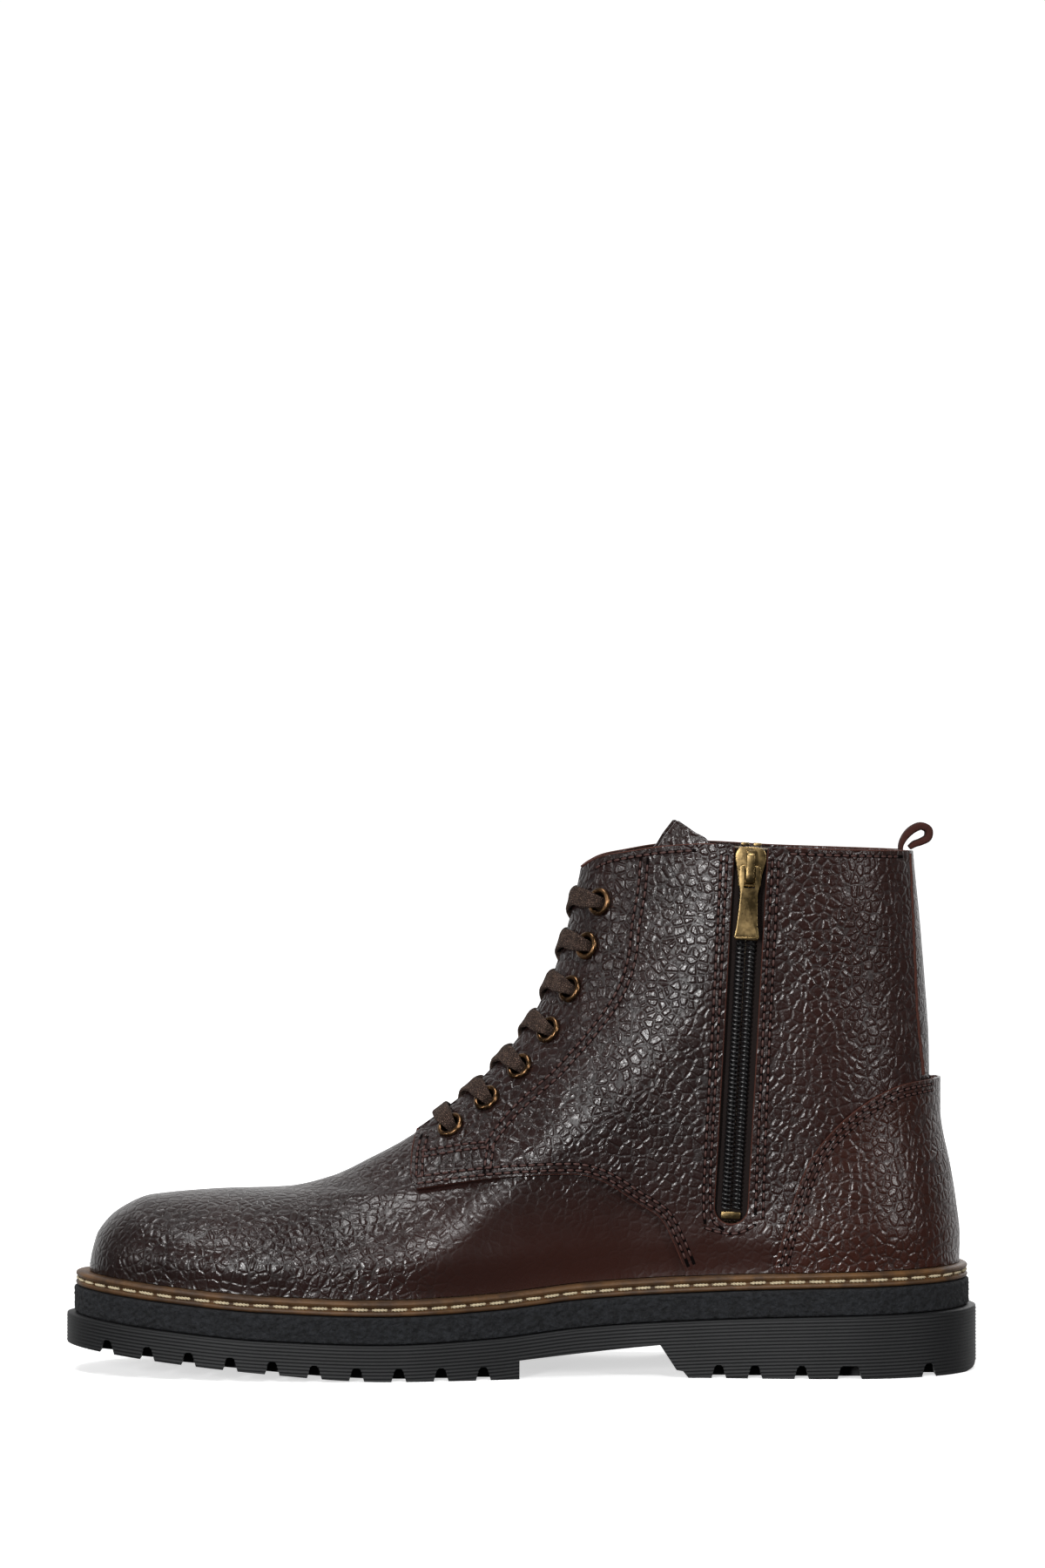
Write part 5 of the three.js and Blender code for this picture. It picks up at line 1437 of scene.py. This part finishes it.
def leather(name, grain=1.0, tone=(37, 22, 20), red=(47, 24, 19)):
    """Pebbled leather: smooth flat-topped cells with narrow creases between, calmer low on the middle."""
    s = Shader(name)
    x, _, z = s.axes()
    near = warped(s, 170.0, 0.0016)
    cells = s.edges(310.0, near)
    fine = s.edges(640.0, near)
    height = s.math("MULTIPLY_ADD", s.ramp(cells, 0.0, 0.24), 0.6, s.math("MULTIPLY", s.ramp(fine, 0.0, 0.2), 0.1))
    height = s.math("MULTIPLY_ADD", s.noise(330.0, 2.0), 0.55, height)
    height = s.math("MULTIPLY_ADD", s.noise(2400.0, 2.0), 0.03, height)
    patch = s.ramp(s.noise(24.0, 2.0), 0.36, 0.64, 0.6, 1.0)
    low = s.ramp(z, 0.042, 0.072, 1.0, 0.0)
    middle = s.math("MULTIPLY", s.ramp(x, -0.05, -0.01), s.ramp(x, 0.08, 0.088, 1.0, 0.0))
    smoother = s.math("MULTIPLY", middle, low)
    strength = s.math("MULTIPLY", patch, s.math("MULTIPLY_ADD", smoother, -0.8, 1.0))
    strength = s.math("MULTIPLY", strength, grain, clamp=True)
    normal = s.bump(height, 0.00042, strength)
    mottle = s.ramp(s.noise(45.0, 4.0, 0.6), 0.3, 0.7)
    body = s.blend(mottle, rgb(*tone, 0.6), rgb(*tone, 1.0))
    low_edge = s.math("MULTIPLY", s.ramp(z, 0.034, 0.075, 1.0, 0.0), s.ramp(x, -0.08, 0.03))
    rear = s.ramp(x, 0.07, 0.1, 0.0, 0.5)
    body = s.blend(s.math("MAXIMUM", low_edge, rear), body, rgb(*red))
    toe = s.ramp(x, -0.15, -0.105, 0.6, 0.0)
    body = s.blend(toe, body, rgb(18, 11, 11))
    # painted shade: the colour is darkened towards near-black in the narrow gaps between cells; the same mask also
    # makes them rougher
    crease_shade_and_roughness = s.math("MULTIPLY", s.ramp(cells, 0.0, 0.1, 1.0, 0.0), strength)
    body = s.blend(s.math("MULTIPLY", crease_shade_and_roughness, 0.6), body, rgb(13, 7, 6))
    rough = s.math("MULTIPLY_ADD", s.noise(160.0, 3.0), 0.14, 0.2)
    rough = s.math("MULTIPLY_ADD", crease_shade_and_roughness, 0.2, rough)
    return s.finish(Base_Color=body, Roughness=rough, Normal=normal, Specular_IOR_Level=0.42)


def plain(name, color, roughness, metallic=0.0, bump_scale=0.0, bump_distance=0.0002, specular=0.5):
    s = Shader(name)
    sockets = {"Base_Color": color, "Roughness": roughness, "Metallic": metallic, "Specular_IOR_Level": specular}
    if bump_scale:
        tint = s.blend(s.noise(bump_scale * 0.3, 3.0), tuple(c * 0.75 for c in color[:3]) + (1,),
                       tuple(min(1, c * 1.25) for c in color[:3]) + (1,))
        sockets["Base_Color"] = tint
        sockets["Normal"] = s.bump(s.noise(bump_scale, 4.0), bump_distance, 0.8)
    return s.finish(**sockets)


def brass_finish(name, color, roughness=0.34, worn=0.5):
    s = Shader(name)
    age = s.ramp(s.noise(240.0, 4.0, 0.65), 0.35, 0.7)
    tint = s.blend(age, rgb(*color, 0.6), rgb(*color, 1.1))
    rough = s.math("MULTIPLY_ADD", age, 0.14, roughness - 0.06)
    normal = s.bump(s.noise(900.0, 2.0), 0.00003, worn)
    return s.finish(Base_Color=tint, Metallic=1.0, Roughness=rough, Normal=normal)


def midsole_finish():
    s = Shader("midsole crepe")
    crumbs = s.node("ShaderNodeTexVoronoi", {"Vector": warped(s, 300.0, 0.001), "Scale": 620.0},
                    feature="SMOOTH_F1").outputs["Distance"]
    height = s.math("ADD", s.math("MULTIPLY", crumbs, 0.8), s.noise(900.0, 4.0, 0.7))
    tint = s.blend(s.ramp(s.noise(420.0, 4.0, 0.7), 0.3, 0.7), rgb(18, 19, 21), rgb(40, 42, 46))
    return s.finish(Base_Color=tint, Roughness=0.82, Normal=s.bump(height, 0.0022, 1.0), Specular_IOR_Level=0.35)


def outsole_finish():
    s = Shader("outsole rubber")
    tint = s.blend(s.noise(60.0, 4.0), rgb(10, 11, 12), rgb(19, 20, 22))
    height = s.noise(1800.0, 3.0)
    return s.finish(Base_Color=tint, Roughness=0.62, Normal=s.bump(height, 0.00012, 0.6), Specular_IOR_Level=0.4)


def welt_finish():
    s = Shader("welt leather")
    z = s.axes()[2]
    grain = s.noise(700.0, 4.0, 0.65)
    worn = s.ramp(s.noise(120.0, 4.0, 0.6), 0.3, 0.7)
    tint = s.blend(worn, rgb(62, 42, 24), rgb(104, 72, 38))
    tint = s.blend(s.ramp(z, 0.028, 0.036, 0.35, 0.0), tint, rgb(44, 30, 20))
    tint = s.blend(s.ramp(grain, 0.25, 0.5, 0.4, 0.0), tint, rgb(52, 34, 20))
    return s.finish(Base_Color=tint, Roughness=0.55, Normal=s.bump(grain, 0.0004, 0.6), Specular_IOR_Level=0.4)


def lace_finish():
    s = Shader("lace webbing")
    threads = s.edges(1500.0, warped(s, 400.0, 0.0006))
    height = s.math("ADD", s.ramp(threads, 0.0, 0.3), s.noise(2200.0, 3.0))
    # painted shade: darker in the gaps between the threads, where the bump is low
    tint = s.blend(s.ramp(threads, 0.0, 0.35), rgb(44, 33, 29), rgb(108, 88, 77))
    tint = s.blend(s.ramp(s.noise(500.0, 3.0), 0.5, 0.75, 0.0, 0.2), tint, rgb(132, 108, 94))
    return s.finish(Base_Color=tint, Roughness=0.85, Normal=s.bump(height, 0.00055, 1.0), Sheen_Weight=0.0,
                    Specular_IOR_Level=0.15)


def fleece_finish():
    s = Shader("fleece")
    curls = s.node("ShaderNodeTexVoronoi", {"Vector": warped(s, 200.0, 0.003), "Scale": 420.0},
                   feature="SMOOTH_F1").outputs["Distance"]
    tint = s.blend(s.noise(180.0, 4.0), rgb(150, 134, 112), rgb(196, 182, 160))
    height = s.math("ADD", curls, s.noise(2000.0, 4.0, 0.7))
    return s.finish(Base_Color=tint, Roughness=0.95, Normal=s.bump(height, 0.0018, 0.9), Sheen_Weight=0.5,
                    Specular_IOR_Level=0.15)


def tape_finish():
    s = Shader("zip tape")
    ribs = s.edges(1300.0, s.coordinates)
    return s.finish(Base_Color=rgb(28, 19, 17), Roughness=0.85, Normal=s.bump(ribs, 0.0003, 0.6),
                    Specular_IOR_Level=0.25)


finishes = {
    "leather": leather("leather"),
    "counter": leather("counter leather", 1.0, (46, 25, 20), (53, 26, 19)),
    "vamp": leather("vamp leather", 0.8, (36, 21, 19)),
    "facing": leather("facing leather", 0.8, (36, 21, 19)),
    "suede": plain("loop suede", rgb(58, 30, 25), 0.88, bump_scale=900.0, bump_distance=0.0004, specular=0.2),
    "edge": plain(
        "cut leather edge", rgb(74, 40, 31), 0.8, bump_scale=1200.0, bump_distance=0.0003, specular=0.25),
    # painted shade: near-black, almost unreflecting colour of the bands along the stitch rows
    "groove_shade": plain("seam groove shade", rgb(9, 5, 5), 0.9, specular=0.05),
    "stitch": plain("stitching thread", rgb(62, 32, 26), 0.6, bump_scale=3500.0, bump_distance=0.0001),
    "thread": plain("welt thread", rgb(190, 176, 146), 0.75, bump_scale=3000.0, bump_distance=0.00015),
    "welt": welt_finish(),
    "midsole": midsole_finish(),
    "outsole": outsole_finish(),
    "eyelet": brass_finish("eyelet brass", (122, 92, 64), 0.28, 0.15),
    "zip metal": brass_finish("zip brass", (158, 134, 92), 0.3),
    "coil": plain("zip coil nylon", rgb(14, 13, 14), 0.3),
    "tape": tape_finish(),
    "lace": lace_finish(),
    "fleece": fleece_finish(),
    "plastic": plain("aglet plastic", rgb(18, 17, 17), 0.4),
    "board": plain("board", rgb(120, 98, 70), 0.9, bump_scale=600.0),
    "steel": plain("spring steel", rgb(150, 152, 155), 0.35, 1.0, bump_scale=900.0, bump_distance=0.00005),
}

# ------------------------------------------------------------------ which piece stands for which CAD node
pieces = [
    (vamp, "vamp", "vamp", "leather"),
    (quarter_medial, "leather", "quarter_medial", "leather"),
    (quarter_lateral, "leather", "quarter_lateral", "leather"),
    (stay_medial, "facing", "facing_stay_medial", "leather"),
    (stay_lateral, "facing", "facing_stay_lateral", "leather"),
    (back_strip, "leather", "back_strip", "leather"),
    (counter, "counter", "heel_counter_cover", "leather"),
    (tongue, "leather", "tongue", "leather"),
    (lining, "fleece", "lining", "fleece"),
    (welt, "welt", "welt", "welt"),
    (midsole, "midsole", "midsole", "midsole"),
    (outsole, "outsole", "outsole", "outsole"),
    (welt_thread, "thread", "welt_thread", "thread"),
    (lace, "lace", "lace", "lace"),
    (aglets[-1], "plastic", "aglet_medial", "black_plastic"),
    (aglets[1], "plastic", "aglet_lateral", "black_plastic"),
    (pull_loop, "suede", "pull_loop", "leather"),
    (coils[-1], "coil", "zip_coil_front", "black_plastic"),
    (coils[1], "coil", "zip_coil_rear", "black_plastic"),
    (tapes[-1], "tape", "zip_tape_front", "zip_tape"),
    (tapes[1], "tape", "zip_tape_rear", "zip_tape"),
    (zip_tops[-1], "zip metal", "zip_top_stop_front", "brass"),
    (zip_tops[1], "zip metal", "zip_top_stop_rear", "brass"),
    (zip_bottom, "zip metal", "zip_bottom_stop", "brass"),
    (slider, "zip metal", "zip_slider", "brass"),
    (pull, "zip metal", "zip_pull", "brass"),
    (stitch_medial, "stitch", None, "thread"),
    (stitch_lateral, "stitch", None, "thread"),
    (edges_medial, "edge", None, "leather"),
    (edges_lateral, "edge", None, "leather"),
    # painted shade bands along the stitch rows
    (groove_shade_medial, "groove_shade", None, "leather"),
    (groove_shade_lateral, "groove_shade", None, "leather"),
]
for side, pair, eyelet in eyelets:
    pieces.append((eyelet, "eyelet", f"eyelet_{SIDES[side]}_{pair}", "brass"))
RIDES = {"tongue": "tongue", "zip_slider": "zip_slider", "zip_pull": "zip_pull"}
for obj, look, node, slot in pieces:
    obj.data.materials.clear()
    obj.data.materials.append(finishes[look])
    sharpen(obj, 40)
    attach(obj, RIDES.get(node, "boot"))
    if node:
        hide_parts(node)
INSIDE = {
    "insole_board": "board", "bottom_filler": "board", "shank": "steel", "footbed": "fleece",
    "toe_puff": "board", "heel_stiffener": "board",
}
for node, look in INSIDE.items():
    shown = frame["nodes"][node]
    shown.data = shown.data.copy()
    for index in range(len(shown.data.materials)):
        shown.data.materials[index] = finishes[look]

# ------------------------------------------------------------------ floor, world and lights
floor = bpy.data.objects.new("floor", bpy.data.meshes.new("floor"))
floor.data.from_pydata([(-30, -30, 0), (30, -30, 0), (30, 30, 0), (-30, 30, 0)], [], [(0, 1, 2, 3)])
bpy.context.scene.collection.objects.link(floor)
floor_look = Shader("floor")
floor_distance = floor_look.node("ShaderNodeVectorMath", {0: floor_look.coordinates}, operation="LENGTH")
far_off = floor_distance.outputs["Value"]
# painted light: the floor glows, weaker near the boot and stronger far off, so the far floor reads white while the
# shade near the boot stays
floor.data.materials.append(floor_look.finish(
    Base_Color=(0.8, 0.8, 0.8, 1), Roughness=0.9, Specular_IOR_Level=0.0, Emission_Color=(1, 1, 1, 1),
    Emission_Strength=floor_look.ramp(far_off, 0.25, 0.8, 0.6, 1.05)))
floor.visible_glossy = False
floor.visible_diffuse = False

world = bpy.data.worlds.new("world")
bpy.context.scene.world = world
world.use_nodes = True
tree = world.node_tree
sky = tree.nodes["Background"]
direction = tree.nodes.new("ShaderNodeTexCoord")
split = tree.nodes.new("ShaderNodeSeparateXYZ")
tree.links.new(direction.outputs["Generated"], split.inputs["Vector"])
behind = tree.nodes.new("ShaderNodeMapRange")
tree.links.new(split.outputs["Y"], behind.inputs["Value"])
for key, value in (("From Min", 0.35), ("From Max", 0.85), ("To Min", 0.06), ("To Max", 1.02)):
    behind.inputs[key].default_value = value
tree.links.new(behind.outputs["Result"], sky.inputs["Strength"])
sky.inputs["Color"].default_value = (1, 1, 1, 1)


def area_light(name, location, aim, width, height, power, color=(1, 1, 1)):
    data = bpy.data.lights.new(name, "AREA")
    data.shape = "RECTANGLE"
    data.size, data.size_y = width, height
    data.energy = power
    data.color = color
    light = bpy.data.objects.new(name, data)
    light.location = location
    toward = np.array(aim, float) - np.array(location, float)
    light.rotation_euler = Vector(toward).to_track_quat("-Z", "Y").to_euler()
    bpy.context.scene.collection.objects.link(light)
    return light


area_light("top softbox", (-0.5, -0.15, 1.5), (-0.03, 0, 0.05), 0.5, 0.35, 9)
area_light("front left strip", (-0.62, -1.8, 0.4), (0.02, 0, 0.1), 0.14, 0.45, 24)
area_light("far left strip", (-1.8, -0.7, 0.6), (0, 0, 0.1), 0.15, 0.5, 7)
area_light("front high spot", (0.15, -1.5, 1.5), (0.03, 0, 0.1), 0.25, 0.25, 12)
area_light("front right strip", (1.35, -1.0, 0.5), (0.08, 0, 0.1), 0.12, 0.6, 9)
area_light("rear fill", (0.6, 1.3, 0.9), (0, 0, 0.1), 0.9, 0.9, 8)

bpy.context.view_layer.update()
